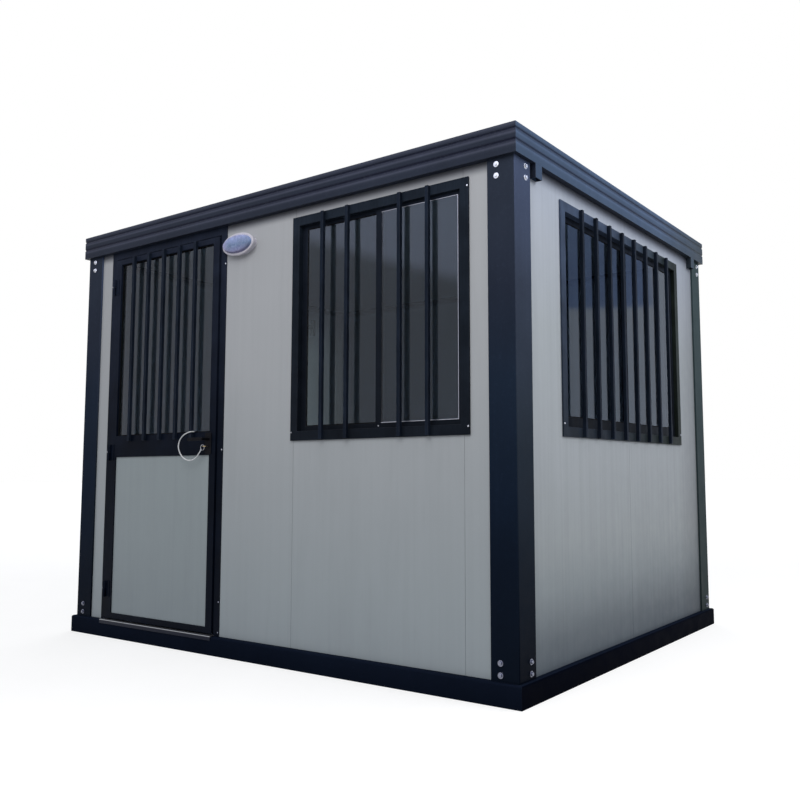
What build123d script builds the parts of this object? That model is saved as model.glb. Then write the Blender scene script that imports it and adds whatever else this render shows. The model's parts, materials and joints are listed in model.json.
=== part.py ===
"""Prefabricated security guard booth: steel frame, sandwich panel walls, barred windows, one barred door.

Millimetres, +Z up.  The origin is the centre of the base on the ground; the door wall faces -Y and
the second window faces +X.  Each wall has a datum plane on the outer faces of the corner posts.
"""
import os
from math import pi, radians, tan
from build123d import *

os.makedirs("parts", exist_ok=True)

# ---- overall ----
LENGTH = 3000.0                 # over the corner posts, along X
DEPTH = 2290.0                  # over the corner posts, along Y
HEIGHT = 2350.0                 # ground to the top of the fascia
OVERHANG = 20.0                 # base rails and fascia stand this far outside the posts

# ---- steel frame ----
BASE_HEIGHT = 92.0
BASE_SHEET = 4.0
BASE_TOP_FLANGE = 86.0
BASE_BOTTOM_FLANGE = 60.0
BASE_EDGE_RADIUS = 9.0
FASCIA_HEIGHT = 130.0
FASCIA_SHEET = 3.0
FASCIA_BOTTOM_FLANGE = 100.0
FASCIA_TOP_LIP = 38.0
GROOVE_DEPTH = 6.0
GROOVE_MOUTH = 12.0
GROOVE_FLOOR = 5.0
GROOVE_DROPS = (28.0, 76.0)     # below the fascia's top edge, to the groove centres
POST_WIDTH = 132.0
POST_LEG = 60.0
POST_SHEET = 3.0
POST_CORNER_RADIUS = 5.0
JOIST_COUNT = 5
JOIST_WIDTH = 60.0
FLOOR_THICKNESS = 18.0

# ---- walls and roof ----
PANEL = 50.0                    # sandwich panel thickness
PANEL_RECESS = 10.0             # wall face behind the post faces
PANEL_MODULE = 994.0
FRONT_JOINT_INSET = 259.0       # window panel's right joint, from the right post's outer face
CEILING_THICKNESS = 20.0
ROOF_THICKNESS = 40.0
ROOF_DROP = 26.0                # roof sheet below the fascia's top edge

# ---- door ----
DOORWAY_START = 230.0           # left edge of the door frame, from the left post's outer face
DOORWAY_WIDTH = 1012.0
JAMB = 44.0
FRAME_FACE = 7.0                # door frame's face behind the post faces
STOP_LIP = 14.0
LEAF_THICKNESS = 40.0
LEAF_SIDE_GAP = 7.0
LEAF_END_GAP = 6.0
STOP_GAP = 5.0
STILE = 48.0
END_RAIL = 30.0
MID_RAIL_LOW = 1012.0
MID_RAIL_HIGH = 1132.0
DOOR_PANEL_THICKNESS = 26.0
DOOR_PANEL_RECESS = 6.0
DOOR_GLASS_THICKNESS = 5.0
DOOR_GLASS_RECESS = 16.0
THRESHOLD_SHEET = 4.0
THRESHOLD_WIDTH = 950.0
THRESHOLD_LIP = 18.0
HINGE_FOOT_MARGIN = 162.0       # leaf's lower edge to the middle of the lowest hinge
HINGE_HEAD_MARGIN = 160.0
MIDDLE_HINGE_Z = 1038.0
HINGE_HEIGHT = 90.0
HINGE_RADIUS = 7.0
HINGE_PIN_RADIUS = 3.5
HINGE_PIN_CLEARANCE = 0.3
HINGE_PLATE = 3.0
HINGE_PLATE_WIDTH = 32.0
HINGE_STAND_OFF = 1.0
KNUCKLE_GAP = 0.5

# ---- bars ----
BAR = 18.0
BAR_END_MARGIN = 3.0
DOOR_BAR_COUNT = 5
DOOR_BAR_FOOT = 32.0            # overlap of the door bars on the middle rail
WINDOW_BAR_PITCH = 155.5
FRONT_BAR_STEPS = (-2, -1, 1, 2)

# ---- handle, lock and keys ----
HANDLE_INSET = 53.0             # spindle from the leaf's closing edge
HANDLE_AXIS_Z = 1094.0
HANDLE_PLATE_WIDTH = 48.0
HANDLE_PLATE_HEIGHT = 112.0
HANDLE_PLATE_THICKNESS = 4.0
HANDLE_PLATE_CENTRE_Z = 1072.0
SPINDLE_RADIUS = 5.0
SPINDLE_CLEARANCE = 0.5
NECK_RADIUS = 8.0
NECK_RUNNING_GAP = 0.5
LEVER_STAND_OFF = 40.0
LEVER_THICKNESS = 11.0
LEVER_HEIGHT = 17.0
LEVER_LENGTH = 118.0
CYLINDER_RADIUS = 8.5
CYLINDER_Z = 1056.0
CYLINDER_PROUD = 3.0
KEY_THICKNESS = 2.4
KEY_BOW_RADIUS = 11.0
KEY_REACH = 28.0
KEY_HOLE_RADIUS = 2.6
KEY_HOLE_OFFSET = 5.0
KEY_BLADE = 8.0
RING_RADIUS = 14.0
RING_WIRE_RADIUS = 1.1
RING_HANG = 6.0                 # ring centre below the key
CORD_RADIUS = 3.0
CORD_TIGHT_RADIUS = 6.0
CORD_BAR_GAP = 4.2              # cord's middle from the faces of the bar that it goes round
CORD_SIDE_GAP = 6.9
CORD_BACK_START = -15.3         # along from the last bar's far side
CORD_FOLD_RISE = 4.5            # above the middle rail
CORD_POINTS = (                 # along from that side, out from the bar's face, up from the rail
    (-23.3, 5.0, -1.0),
    (-59.3, 6.0, -15.0),
    (-86.3, 6.0, -42.0),
    (-94.3, 6.0, -74.0),
    (-83.3, 5.0, -104.0),
    (-60.3, 5.0, -129.0),
    (-30.3, 5.0, -144.0),
    (3.7, 5.0, -149.0),
    (38.7, 6.0, -143.0),
    (67.7, 6.0, -125.0),
)
CORD_END_GAP = 2.0              # cord's end from the ring's wire
CORD_END_ANGLE = 225.0          # degrees round the ring
CORD_TIGHT_CORNERS = 2          # the first corners fold round the bar

# ---- windows ----
WINDOW_FLANGE = 45.0
WINDOW_FLANGE_PROUD = 8.0
WINDOW_FLANGE_LAP = 35.0
WINDOW_FRAME_DEPTH = 66.0
WINDOW_STILE = 32.0
WINDOW_END_STILE = 19.0         # of the outer sash, next to the frame
WINDOW_SASH_DEPTH = 9.0
WINDOW_TRACK_GAP = 0.5
SASH_END_CLEARANCE = 0.5
FRONT_TRACK_START = 8.5         # outer sash behind the wall face
SIDE_TRACK_START = 14.5
FRONT_SASH_RAILS = (23.0, 17.0) # foot and head
SIDE_SASH_RAILS = (48.0, 27.0)
GLASS_THICKNESS = 4.0
WINDOW_SILL = 1070.0
FRONT_WINDOW_INSET = 748.0      # window's middle from the right post's outer face
FRONT_WINDOW_WIDTH = 1040.0
FRONT_WINDOW_HEAD = 48.0        # frame below the fascia
SIDE_WINDOW_START = 411.0       # frame from the front post's outer face
SIDE_WINDOW_END = 397.0         # frame from the back post's outer face
SIDE_WINDOW_HEAD = 82.0
LATCH_WIDTH = 22.0
LATCH_HEIGHT = 80.0
LATCH_PLATE = 6.0
LATCH_DEPTH = 58.0              # plate, neck and grip together
LATCH_GRIP = 14.0
LATCH_NECK = (14.0, 22.0)
LATCH_RISE = 7.0                # above the window's middle

# ---- lamp and rain spouts ----
LAMP_OFFSET = 112.0             # lamp's middle from the door frame's edge
LAMP_DROP = 122.5               # lamp's middle below the fascia
LAMP_WIDTH = 220.0              # where it meets the wall
LAMP_HEIGHT = 105.0
LAMP_BASE_DEPTH = 31.0
LAMP_BASE_FLARE = 12.7          # degrees
LAMP_RIM = 234.0, 119.0         # its front edge, after the flare
LAMP_RIM_ROUND = 4.0
LAMP_BEZEL = 12.0
LAMP_LENS_DEPTH = 14.0
LAMP_LENS_TAPER = 20.0          # degrees
LAMP_LENS_ROUND = 7.0
SPOUT_POST_GAP = 14.0
SPOUT_WIDTH = 56.0
SPOUT_DROP = 62.0
SPOUT_SHEET = 2.5

# ---- worked out from the sizes above ----
FASCIA_BOTTOM = HEIGHT - FASCIA_HEIGHT
WALL_HEIGHT = FASCIA_BOTTOM - BASE_HEIGHT
HALF_LENGTH = LENGTH / 2
HALF_DEPTH = DEPTH / 2
CORNER_X = HALF_LENGTH + OVERHANG
CORNER_Y = HALF_DEPTH + OVERHANG

# Datum planes: x runs along the wall as seen from outside, y is up, the normal points outwards.
FRONT = Plane(origin=(0, -HALF_DEPTH, 0), x_dir=(1, 0, 0), z_dir=(0, -1, 0))
RIGHT = Plane(origin=(HALF_LENGTH, 0, 0), x_dir=(0, 1, 0), z_dir=(1, 0, 0))
BACK = Plane(origin=(0, HALF_DEPTH, 0), x_dir=(-1, 0, 0), z_dir=(0, 1, 0))
LEFT = Plane(origin=(-HALF_LENGTH, 0, 0), x_dir=(0, -1, 0), z_dir=(-1, 0, 0))


def save(part, name):
    """Label a finished piece and write it as one STEP file."""
    part.label = name
    export_step(part, f"parts/{name}.step")


def rectangle(left, right, low, high, mode=Mode.ADD):
    """Rectangle in the open sketch from its four sides."""
    with Locations(((left + right) / 2, (low + high) / 2)):
        Rectangle(right - left, high - low, mode=mode)


def sketch_corner(x, y):
    """The vertex of the open sketch that lies at a local point."""
    return vertices().sort_by_distance((x, y, 0))[0]


def mitred_member(start, run, inward, length, draw_section):
    """A ring member: its section is drawn inward and up from the outer edge, and both ends are mitred."""
    start, run, inward = Vector(start), Vector(run), Vector(inward)
    with BuildPart() as member:
        with BuildSketch(Plane(origin=start, x_dir=inward, z_dir=run)):
            draw_section()
        extrude(amount=length)
        split(bisect_by=Plane(origin=start, z_dir=run - inward), keep=Keep.TOP)
        split(bisect_by=Plane(origin=start + run * length, z_dir=-run - inward), keep=Keep.TOP)
    return member.part


RING = {
    "front": ((-CORNER_X, -CORNER_Y, 0), (1, 0, 0), (0, 1, 0), 2 * CORNER_X),
    "right": ((CORNER_X, -CORNER_Y, 0), (0, 1, 0), (-1, 0, 0), 2 * CORNER_Y),
    "back": ((CORNER_X, CORNER_Y, 0), (-1, 0, 0), (0, -1, 0), 2 * CORNER_X),
    "left": ((-CORNER_X, CORNER_Y, 0), (0, -1, 0), (1, 0, 0), 2 * CORNER_Y),
}


# ---- base: four mitred channels, joists and floor ----
def base_section():
    """Channel open to the inside, with a rounded top outer edge."""
    rectangle(0, BASE_SHEET, 0, BASE_HEIGHT)
    rectangle(0, BASE_TOP_FLANGE, BASE_HEIGHT - BASE_SHEET, BASE_HEIGHT)
    rectangle(0, BASE_BOTTOM_FLANGE, 0, BASE_SHEET)
    fillet(sketch_corner(0, BASE_HEIGHT), radius=BASE_EDGE_RADIUS)


for side, placing in RING.items():
    save(mitred_member(*placing, base_section), f"base_rail_{side}")

FLOOR_HALF_X = CORNER_X - BASE_TOP_FLANGE
FLOOR_HALF_Y = CORNER_Y - BASE_TOP_FLANGE
JOIST_TOP = BASE_HEIGHT - FLOOR_THICKNESS
JOIST_PITCH = 2 * FLOOR_HALF_X / (JOIST_COUNT + 1)
FLANGE_EDGE_Y = CORNER_Y - BASE_BOTTOM_FLANGE
WEB_FACE_Y = CORNER_Y - BASE_SHEET
with BuildPart() as floor_joists:
    for index in range(JOIST_COUNT):
        joist_x = (index - (JOIST_COUNT - 1) / 2) * JOIST_PITCH
        with BuildSketch(Plane.YZ.offset(joist_x - JOIST_WIDTH / 2)):
            rectangle(-FLANGE_EDGE_Y, FLANGE_EDGE_Y, 0, JOIST_TOP)
            rectangle(-WEB_FACE_Y, WEB_FACE_Y, BASE_SHEET, JOIST_TOP)
        extrude(amount=JOIST_WIDTH)
save(floor_joists.part, "floor_joists")

with BuildPart() as floor_panel:
    with BuildSketch(Plane.XY.offset(JOIST_TOP)):
        Rectangle(2 * FLOOR_HALF_X, 2 * FLOOR_HALF_Y)
    extrude(amount=FLOOR_THICKNESS)
save(floor_panel.part, "floor_panel")


# ---- corner posts: folded L sections standing on the base rails ----
def corner_post(toward_x, toward_y):
    """Hollow L post whose legs run inward from the building's corner."""
    inward_x = Vector(-toward_x, 0, 0)
    inward_y = Vector(0, -toward_y, 0)
    corner = Vector(toward_x * HALF_LENGTH, toward_y * HALF_DEPTH, BASE_HEIGHT)
    along = inward_x if toward_x == toward_y else inward_y
    with BuildPart() as post:
        with BuildSketch(Plane(origin=corner, x_dir=along, z_dir=(0, 0, 1))):
            rectangle(0, POST_WIDTH, 0, POST_LEG)
            rectangle(0, POST_LEG, 0, POST_WIDTH)
            fillet(sketch_corner(0, 0), radius=POST_CORNER_RADIUS)
            offset(amount=-POST_SHEET, kind=Kind.INTERSECTION, mode=Mode.SUBTRACT)
        extrude(amount=WALL_HEIGHT)
    return post.part


save(corner_post(-1, -1), "post_front_left")
save(corner_post(1, -1), "post_front_right")
save(corner_post(1, 1), "post_back_right")
save(corner_post(-1, 1), "post_back_left")


# ---- walls ----
class Opening:
    """A framed opening on a wall's datum plane: the frame's outer size and the smaller hole behind it."""

    def __init__(self, datum, left, right, low, high, track_start=None, sash_rails=None):
        self.datum = datum
        self.track_start = track_start
        self.sash_rails = sash_rails
        self.center = ((left + right) / 2, (low + high) / 2)
        self.outer_width = right - left
        self.outer_height = high - low
        self.width = self.outer_width - 2 * WINDOW_FLANGE_LAP
        self.height = self.outer_height - 2 * WINDOW_FLANGE_LAP
        self.clear_width = self.outer_width - 2 * WINDOW_FLANGE
        self.clear_height = self.outer_height - 2 * WINDOW_FLANGE


def wall_panel(datum, left, right, opening=None):
    """Full-height sandwich panel between two places along a wall, less an opening."""
    with BuildPart() as panel:
        with BuildSketch(datum.offset(-PANEL_RECESS)):
            rectangle(left, right, BASE_HEIGHT, FASCIA_BOTTOM)
            if opening:
                with Locations(opening.center):
                    Rectangle(opening.width, opening.height, mode=Mode.SUBTRACT)
        extrude(amount=-PANEL)
    return panel.part


FRONT_WINDOW_LEFT = HALF_LENGTH - FRONT_WINDOW_INSET - FRONT_WINDOW_WIDTH / 2
front_window = Opening(
    FRONT,
    FRONT_WINDOW_LEFT,
    FRONT_WINDOW_LEFT + FRONT_WINDOW_WIDTH,
    WINDOW_SILL,
    FASCIA_BOTTOM - FRONT_WINDOW_HEAD,
    FRONT_TRACK_START,
    FRONT_SASH_RAILS,
)
side_window = Opening(
    RIGHT,
    SIDE_WINDOW_START - HALF_DEPTH,
    HALF_DEPTH - SIDE_WINDOW_END,
    WINDOW_SILL,
    FASCIA_BOTTOM - SIDE_WINDOW_HEAD,
    SIDE_TRACK_START,
    SIDE_SASH_RAILS,
)

POST_END_X = HALF_LENGTH - POST_WIDTH
POST_END_Y = HALF_DEPTH - POST_WIDTH
DOORWAY_LEFT = DOORWAY_START - HALF_LENGTH
DOORWAY_RIGHT = DOORWAY_LEFT + DOORWAY_WIDTH
JOINT_RIGHT = HALF_LENGTH - FRONT_JOINT_INSET
JOINT_LEFT = JOINT_RIGHT - PANEL_MODULE
save(wall_panel(FRONT, -POST_END_X, DOORWAY_LEFT), "front_wall_left")
save(wall_panel(FRONT, DOORWAY_RIGHT, JOINT_LEFT), "front_wall_middle")
save(wall_panel(FRONT, JOINT_LEFT, JOINT_RIGHT, front_window), "front_wall_window")
save(wall_panel(FRONT, JOINT_RIGHT, POST_END_X), "front_wall_right")
save(wall_panel(RIGHT, -POST_END_Y, 0, side_window), "right_wall_front")
save(wall_panel(RIGHT, 0, POST_END_Y, side_window), "right_wall_back")
save(wall_panel(BACK, -POST_END_X, -PANEL_MODULE / 2), "back_wall_right")
save(wall_panel(BACK, -PANEL_MODULE / 2, PANEL_MODULE / 2), "back_wall_middle")
save(wall_panel(BACK, PANEL_MODULE / 2, POST_END_X), "back_wall_left")
save(wall_panel(LEFT, -POST_END_Y, 0), "left_wall_back")
save(wall_panel(LEFT, 0, POST_END_Y), "left_wall_front")


# ---- fascia ring, ceiling and roof ----
def fascia_section():
    """Folded sheet: bottom flange, face with two pressed grooves, top lip."""
    path = [(FASCIA_BOTTOM_FLANGE, FASCIA_BOTTOM), (0, FASCIA_BOTTOM)]
    for drop in reversed(GROOVE_DROPS):
        centre = HEIGHT - drop
        path += [
            (0, centre - GROOVE_MOUTH / 2),
            (GROOVE_DEPTH, centre - GROOVE_FLOOR / 2),
            (GROOVE_DEPTH, centre + GROOVE_FLOOR / 2),
            (0, centre + GROOVE_MOUTH / 2),
        ]
    path += [(0, HEIGHT), (FASCIA_TOP_LIP, HEIGHT)]
    with BuildLine() as outline:
        Polyline(*path)
        offset(amount=FASCIA_SHEET, side=Side.RIGHT, kind=Kind.INTERSECTION)
    make_face(outline.edges())


for side, placing in RING.items():
    save(mitred_member(*placing, fascia_section), f"fascia_{side}")

CEILING_LOW = FASCIA_BOTTOM + FASCIA_SHEET
CEILING_INSET = GROOVE_DEPTH + 2 * FASCIA_SHEET
with BuildPart() as ceiling_panel:
    with BuildSketch(Plane.XY.offset(CEILING_LOW)):
        Rectangle(2 * (CORNER_X - CEILING_INSET), 2 * (CORNER_Y - CEILING_INSET))
    extrude(amount=CEILING_THICKNESS)
save(ceiling_panel.part, "ceiling_panel")

ROOF_TOP = HEIGHT - ROOF_DROP
ROOF_INSET = GROOVE_DEPTH + FASCIA_SHEET
with BuildPart() as roof_panel:
    with BuildSketch(Plane.XY.offset(ROOF_TOP)):
        Rectangle(2 * (CORNER_X - ROOF_INSET), 2 * (CORNER_Y - ROOF_INSET))
    extrude(amount=-ROOF_THICKNESS)
save(roof_panel.part, "roof_panel")

# ---- rain spouts: open box tubes under the side fascias, one beside each post ----
SPOUT_REACH = OVERHANG + PANEL_RECESS
SPOUT_Y = HALF_DEPTH - POST_WIDTH - SPOUT_POST_GAP - SPOUT_WIDTH / 2
SPOUT_BORE = (SPOUT_REACH - 2 * SPOUT_SHEET, SPOUT_WIDTH - 2 * SPOUT_SHEET)
with BuildPart() as rain_spouts:
    with BuildSketch(Plane.XY.offset(FASCIA_BOTTOM)):
        for toward_x in (-1, 1):
            for toward_y in (-1, 1):
                with Locations((toward_x * (CORNER_X - SPOUT_REACH / 2), toward_y * SPOUT_Y)):
                    Rectangle(SPOUT_REACH, SPOUT_WIDTH)
                    Rectangle(*SPOUT_BORE, mode=Mode.SUBTRACT)
    extrude(amount=-SPOUT_DROP)
save(rain_spouts.part, "rain_spouts")


# ---- door frame: two jambs, head and threshold ----
WALL_BACK = PANEL_RECESS + PANEL
FRAME_DEPTH = WALL_BACK - FRAME_FACE
STOP_DEPTH = WALL_BACK - LEAF_THICKNESS - STOP_GAP
CLEAR_LEFT = DOORWAY_LEFT + JAMB
CLEAR_RIGHT = DOORWAY_RIGHT - JAMB
HEAD_LOW = FASCIA_BOTTOM - JAMB
THRESHOLD_TOP = BASE_HEIGHT + THRESHOLD_SHEET
FRAME_PLANE = FRONT.offset(-FRAME_FACE)
STOP_PLANE = FRONT.offset(-WALL_BACK)


def door_jamb(outer, clear, lip):
    """Jamb with its stop lip, from its outer edge to its clear edge."""
    with BuildPart() as jamb:
        with BuildSketch(FRAME_PLANE):
            rectangle(min(outer, clear), max(outer, clear), BASE_HEIGHT, FASCIA_BOTTOM)
        extrude(amount=-FRAME_DEPTH)
        with BuildSketch(STOP_PLANE):
            rectangle(min(clear, lip), max(clear, lip), THRESHOLD_TOP, HEAD_LOW)
        extrude(amount=STOP_DEPTH)
    return jamb.part


save(door_jamb(DOORWAY_LEFT, CLEAR_LEFT, CLEAR_LEFT + STOP_LIP), "door_jamb_left")
save(door_jamb(DOORWAY_RIGHT, CLEAR_RIGHT, CLEAR_RIGHT - STOP_LIP), "door_jamb_right")

with BuildPart() as door_head:
    with BuildSketch(FRAME_PLANE):
        rectangle(CLEAR_LEFT, CLEAR_RIGHT, HEAD_LOW, FASCIA_BOTTOM)
    extrude(amount=-FRAME_DEPTH)
    with BuildSketch(STOP_PLANE):
        rectangle(CLEAR_LEFT + STOP_LIP, CLEAR_RIGHT - STOP_LIP, HEAD_LOW - STOP_LIP, HEAD_LOW)
    extrude(amount=STOP_DEPTH)
save(door_head.part, "door_head")

SILL_LEFT = (DOORWAY_LEFT + DOORWAY_RIGHT - THRESHOLD_WIDTH) / 2
SILL_RIGHT = SILL_LEFT + THRESHOLD_WIDTH
FRAME_FACE_Y = -HALF_DEPTH + FRAME_FACE
with BuildPart() as door_threshold:
    with BuildSketch(Plane.XY.offset(BASE_HEIGHT)):
        rectangle(SILL_LEFT, SILL_RIGHT, -CORNER_Y, FRAME_FACE_Y)
        rectangle(CLEAR_LEFT, CLEAR_RIGHT, FRAME_FACE_Y, -HALF_DEPTH + WALL_BACK)
    extrude(amount=THRESHOLD_SHEET)
    with BuildSketch(FRONT.offset(OVERHANG)):
        rectangle(SILL_LEFT, SILL_RIGHT, BASE_HEIGHT - THRESHOLD_LIP, THRESHOLD_TOP)
    extrude(amount=THRESHOLD_SHEET)
save(door_threshold.part, "door_threshold")


# ---- door leaf ----
LEAF_LEFT = CLEAR_LEFT + LEAF_SIDE_GAP
LEAF_RIGHT = CLEAR_RIGHT - LEAF_SIDE_GAP
LEAF_LOW = THRESHOLD_TOP + LEAF_END_GAP
LEAF_HIGH = HEAD_LOW - LEAF_END_GAP
PANE_LEFT = LEAF_LEFT + STILE
PANE_RIGHT = LEAF_RIGHT - STILE
PANE_WIDTH = PANE_RIGHT - PANE_LEFT
HANDLE_X = LEAF_RIGHT - HANDLE_INSET
HANDLE_AXIS = (HANDLE_X, HANDLE_AXIS_Z)
CYLINDER_AXIS = (HANDLE_X, CYLINDER_Z)
with BuildPart() as door_leaf:
    with BuildSketch(FRONT):
        rectangle(LEAF_LEFT, LEAF_RIGHT, LEAF_LOW, LEAF_HIGH)
        with Locations(((PANE_LEFT + PANE_RIGHT) / 2, (LEAF_LOW + END_RAIL + MID_RAIL_LOW) / 2)):
            Rectangle(PANE_WIDTH, MID_RAIL_LOW - LEAF_LOW - END_RAIL, mode=Mode.SUBTRACT)
        with Locations(((PANE_LEFT + PANE_RIGHT) / 2, (MID_RAIL_HIGH + LEAF_HIGH - END_RAIL) / 2)):
            Rectangle(PANE_WIDTH, LEAF_HIGH - END_RAIL - MID_RAIL_HIGH, mode=Mode.SUBTRACT)
        with Locations(HANDLE_AXIS):
            Circle(SPINDLE_RADIUS + SPINDLE_CLEARANCE, mode=Mode.SUBTRACT)
        with Locations(CYLINDER_AXIS):
            Circle(CYLINDER_RADIUS, mode=Mode.SUBTRACT)
    extrude(amount=-LEAF_THICKNESS)
save(door_leaf.part, "door_leaf")

with BuildPart() as door_panel:
    with BuildSketch(FRONT.offset(-DOOR_PANEL_RECESS)):
        rectangle(PANE_LEFT, PANE_RIGHT, LEAF_LOW + END_RAIL, MID_RAIL_LOW)
    extrude(amount=-DOOR_PANEL_THICKNESS)
save(door_panel.part, "door_panel")

with BuildPart() as door_glass:
    with BuildSketch(FRONT.offset(-DOOR_GLASS_RECESS)):
        rectangle(PANE_LEFT, PANE_RIGHT, MID_RAIL_HIGH, LEAF_HIGH - END_RAIL)
    extrude(amount=-DOOR_GLASS_THICKNESS)
save(door_glass.part, "door_glass")

# ---- square security bars ----
DOOR_BAR_PITCH = PANE_WIDTH / (DOOR_BAR_COUNT + 1)
DOOR_BAR_LOW = MID_RAIL_HIGH - DOOR_BAR_FOOT
DOOR_BAR_HIGH = LEAF_HIGH - BAR_END_MARGIN
with BuildPart() as door_bars:
    with BuildSketch(FRONT):
        with Locations(((PANE_LEFT + PANE_RIGHT) / 2, (DOOR_BAR_LOW + DOOR_BAR_HIGH) / 2)):
            with GridLocations(DOOR_BAR_PITCH, 1, DOOR_BAR_COUNT, 1):
                Rectangle(BAR, DOOR_BAR_HIGH - DOOR_BAR_LOW)
    extrude(amount=BAR)
save(door_bars.part, "door_bars")


def window_bars(opening, steps):
    """Upright bars on a window frame's face, at steps of the pitch from its middle."""
    face = opening.datum.offset(WINDOW_FLANGE_PROUD - PANEL_RECESS)
    with BuildPart() as bars:
        with BuildSketch(face):
            for step in steps:
                with Locations((opening.center[0] + step * WINDOW_BAR_PITCH, opening.center[1])):
                    Rectangle(BAR, opening.outer_height - 2 * BAR_END_MARGIN)
        extrude(amount=BAR)
    return bars.part


SIDE_BAR_COUNT = int(side_window.clear_width // WINDOW_BAR_PITCH)
side_bar_steps = [index - (SIDE_BAR_COUNT - 1) / 2 for index in range(SIDE_BAR_COUNT)]
save(window_bars(front_window, FRONT_BAR_STEPS), "front_window_bars")
save(window_bars(side_window, side_bar_steps), "side_window_bars")


# ---- sliding windows: flanged frame, two sashes on two tracks, a pane in each ----
def window_frame(opening):
    """Flange on the wall's face and a lining through the wall."""
    wall_face = opening.datum.offset(-PANEL_RECESS)
    with BuildPart() as frame:
        with BuildSketch(wall_face):
            with Locations(opening.center):
                Rectangle(opening.outer_width, opening.outer_height)
                Rectangle(opening.clear_width, opening.clear_height, mode=Mode.SUBTRACT)
        extrude(amount=WINDOW_FLANGE_PROUD)
        with BuildSketch(wall_face):
            with Locations(opening.center):
                Rectangle(opening.width, opening.height)
                Rectangle(opening.clear_width, opening.clear_height, mode=Mode.SUBTRACT)
        extrude(amount=-WINDOW_FRAME_DEPTH)
    return frame.part


def sash_places(opening):
    """Plane, edges and right stile of each sash, the outer right one first. The left one laps behind its stile."""
    middle = opening.center[0]
    reach = opening.clear_width / 2 - SASH_END_CLEARANCE
    outer_plane = opening.datum.offset(-PANEL_RECESS - opening.track_start)
    inner_plane = outer_plane.offset(-WINDOW_SASH_DEPTH - WINDOW_TRACK_GAP)
    return (
        (outer_plane, middle, middle + reach, WINDOW_END_STILE),
        (inner_plane, middle - reach, middle + WINDOW_STILE, WINDOW_STILE),
    )


def pane_edges(opening, left, right, right_stile):
    """A pane's left, right, low and high edges, inside its sash's stiles and rails."""
    foot, head = opening.sash_rails
    low = opening.center[1] - opening.clear_height / 2 + foot
    high = opening.center[1] + opening.clear_height / 2 - head
    return left + WINDOW_STILE, right - right_stile, low, high


def window_sashes(opening):
    """The two rectangular sash rings."""
    half_height = opening.clear_height / 2
    with BuildPart() as sashes:
        for plane, left, right, right_stile in sash_places(opening):
            with BuildSketch(plane):
                rectangle(left, right, opening.center[1] - half_height, opening.center[1] + half_height)
                rectangle(*pane_edges(opening, left, right, right_stile), mode=Mode.SUBTRACT)
            extrude(amount=-WINDOW_SASH_DEPTH)
    return sashes.part


def window_glass(opening):
    """The panes, in the middle of each sash's depth."""
    with BuildPart() as panes:
        for plane, left, right, right_stile in sash_places(opening):
            with BuildSketch(plane.offset((GLASS_THICKNESS - WINDOW_SASH_DEPTH) / 2)):
                rectangle(*pane_edges(opening, left, right, right_stile))
            extrude(amount=-GLASS_THICKNESS)
    return panes.part


for name, opening in (("front_window", front_window), ("side_window", side_window)):
    save(window_frame(opening), f"{name}_frame")
    save(window_sashes(opening), f"{name}_sashes")
    save(window_glass(opening), f"{name}_glass")

# ---- pull handle on the inside of the front window's left sash ----
inner_sash, left_sash_edge, *_ = sash_places(front_window)[1]
latch_center = (left_sash_edge + WINDOW_STILE / 2, front_window.center[1] + LATCH_RISE)
sash_back = inner_sash.offset(-WINDOW_SASH_DEPTH)
with BuildPart() as front_window_latch:
    for start, size, depth in (
        (0, (LATCH_WIDTH, LATCH_HEIGHT), LATCH_PLATE),
        (LATCH_PLATE, LATCH_NECK, LATCH_DEPTH - LATCH_PLATE - LATCH_GRIP),
        (LATCH_DEPTH - LATCH_GRIP, (LATCH_WIDTH, LATCH_HEIGHT), LATCH_GRIP),
    ):
        with BuildSketch(sash_back.offset(-start)):
            with Locations(latch_center):
                RectangleRounded(*size, LATCH_WIDTH / 4)
        extrude(amount=-depth)
save(front_window_latch.part, "front_window_latch")


# ---- hinges: plate, lower knuckle and pin on the jamb, plate and upper knuckle on the leaf ----
HINGE_X = CLEAR_LEFT + LEAF_SIDE_GAP / 2
HINGE_OUT = HINGE_RADIUS + HINGE_PLATE + HINGE_STAND_OFF
HINGE_Y = -HALF_DEPTH - HINGE_OUT
HALF_KNUCKLE = (HINGE_HEIGHT - KNUCKLE_GAP) / 2
HINGE_HEIGHTS = (LEAF_LOW + HINGE_FOOT_MARGIN, MIDDLE_HINGE_Z, LEAF_HIGH - HINGE_HEAD_MARGIN)

with BuildPart() as hinge_jamb_halves:
    for height in HINGE_HEIGHTS:
        low = height - HINGE_HEIGHT / 2
        with BuildSketch(FRAME_PLANE):
            rectangle(HINGE_X - HINGE_PLATE_WIDTH, HINGE_X - LEAF_SIDE_GAP / 2, low, low + HINGE_HEIGHT)
        extrude(amount=HINGE_PLATE)
        with BuildSketch(FRAME_PLANE.offset(HINGE_PLATE)):
            rectangle(HINGE_X - HINGE_RADIUS, HINGE_X - LEAF_SIDE_GAP / 2, low, low + HALF_KNUCKLE)
        extrude(amount=FRAME_FACE - HINGE_PLATE + HINGE_OUT)
        with BuildSketch(Plane.XY.offset(low)):
            with Locations((HINGE_X, HINGE_Y)):
                Circle(HINGE_RADIUS)
        extrude(amount=HALF_KNUCKLE)
        with BuildSketch(Plane.XY.offset(low + HALF_KNUCKLE)):
            with Locations((HINGE_X, HINGE_Y)):
                Circle(HINGE_PIN_RADIUS)
        extrude(amount=HALF_KNUCKLE)
save(hinge_jamb_halves.part, "hinge_jamb_halves")

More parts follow.
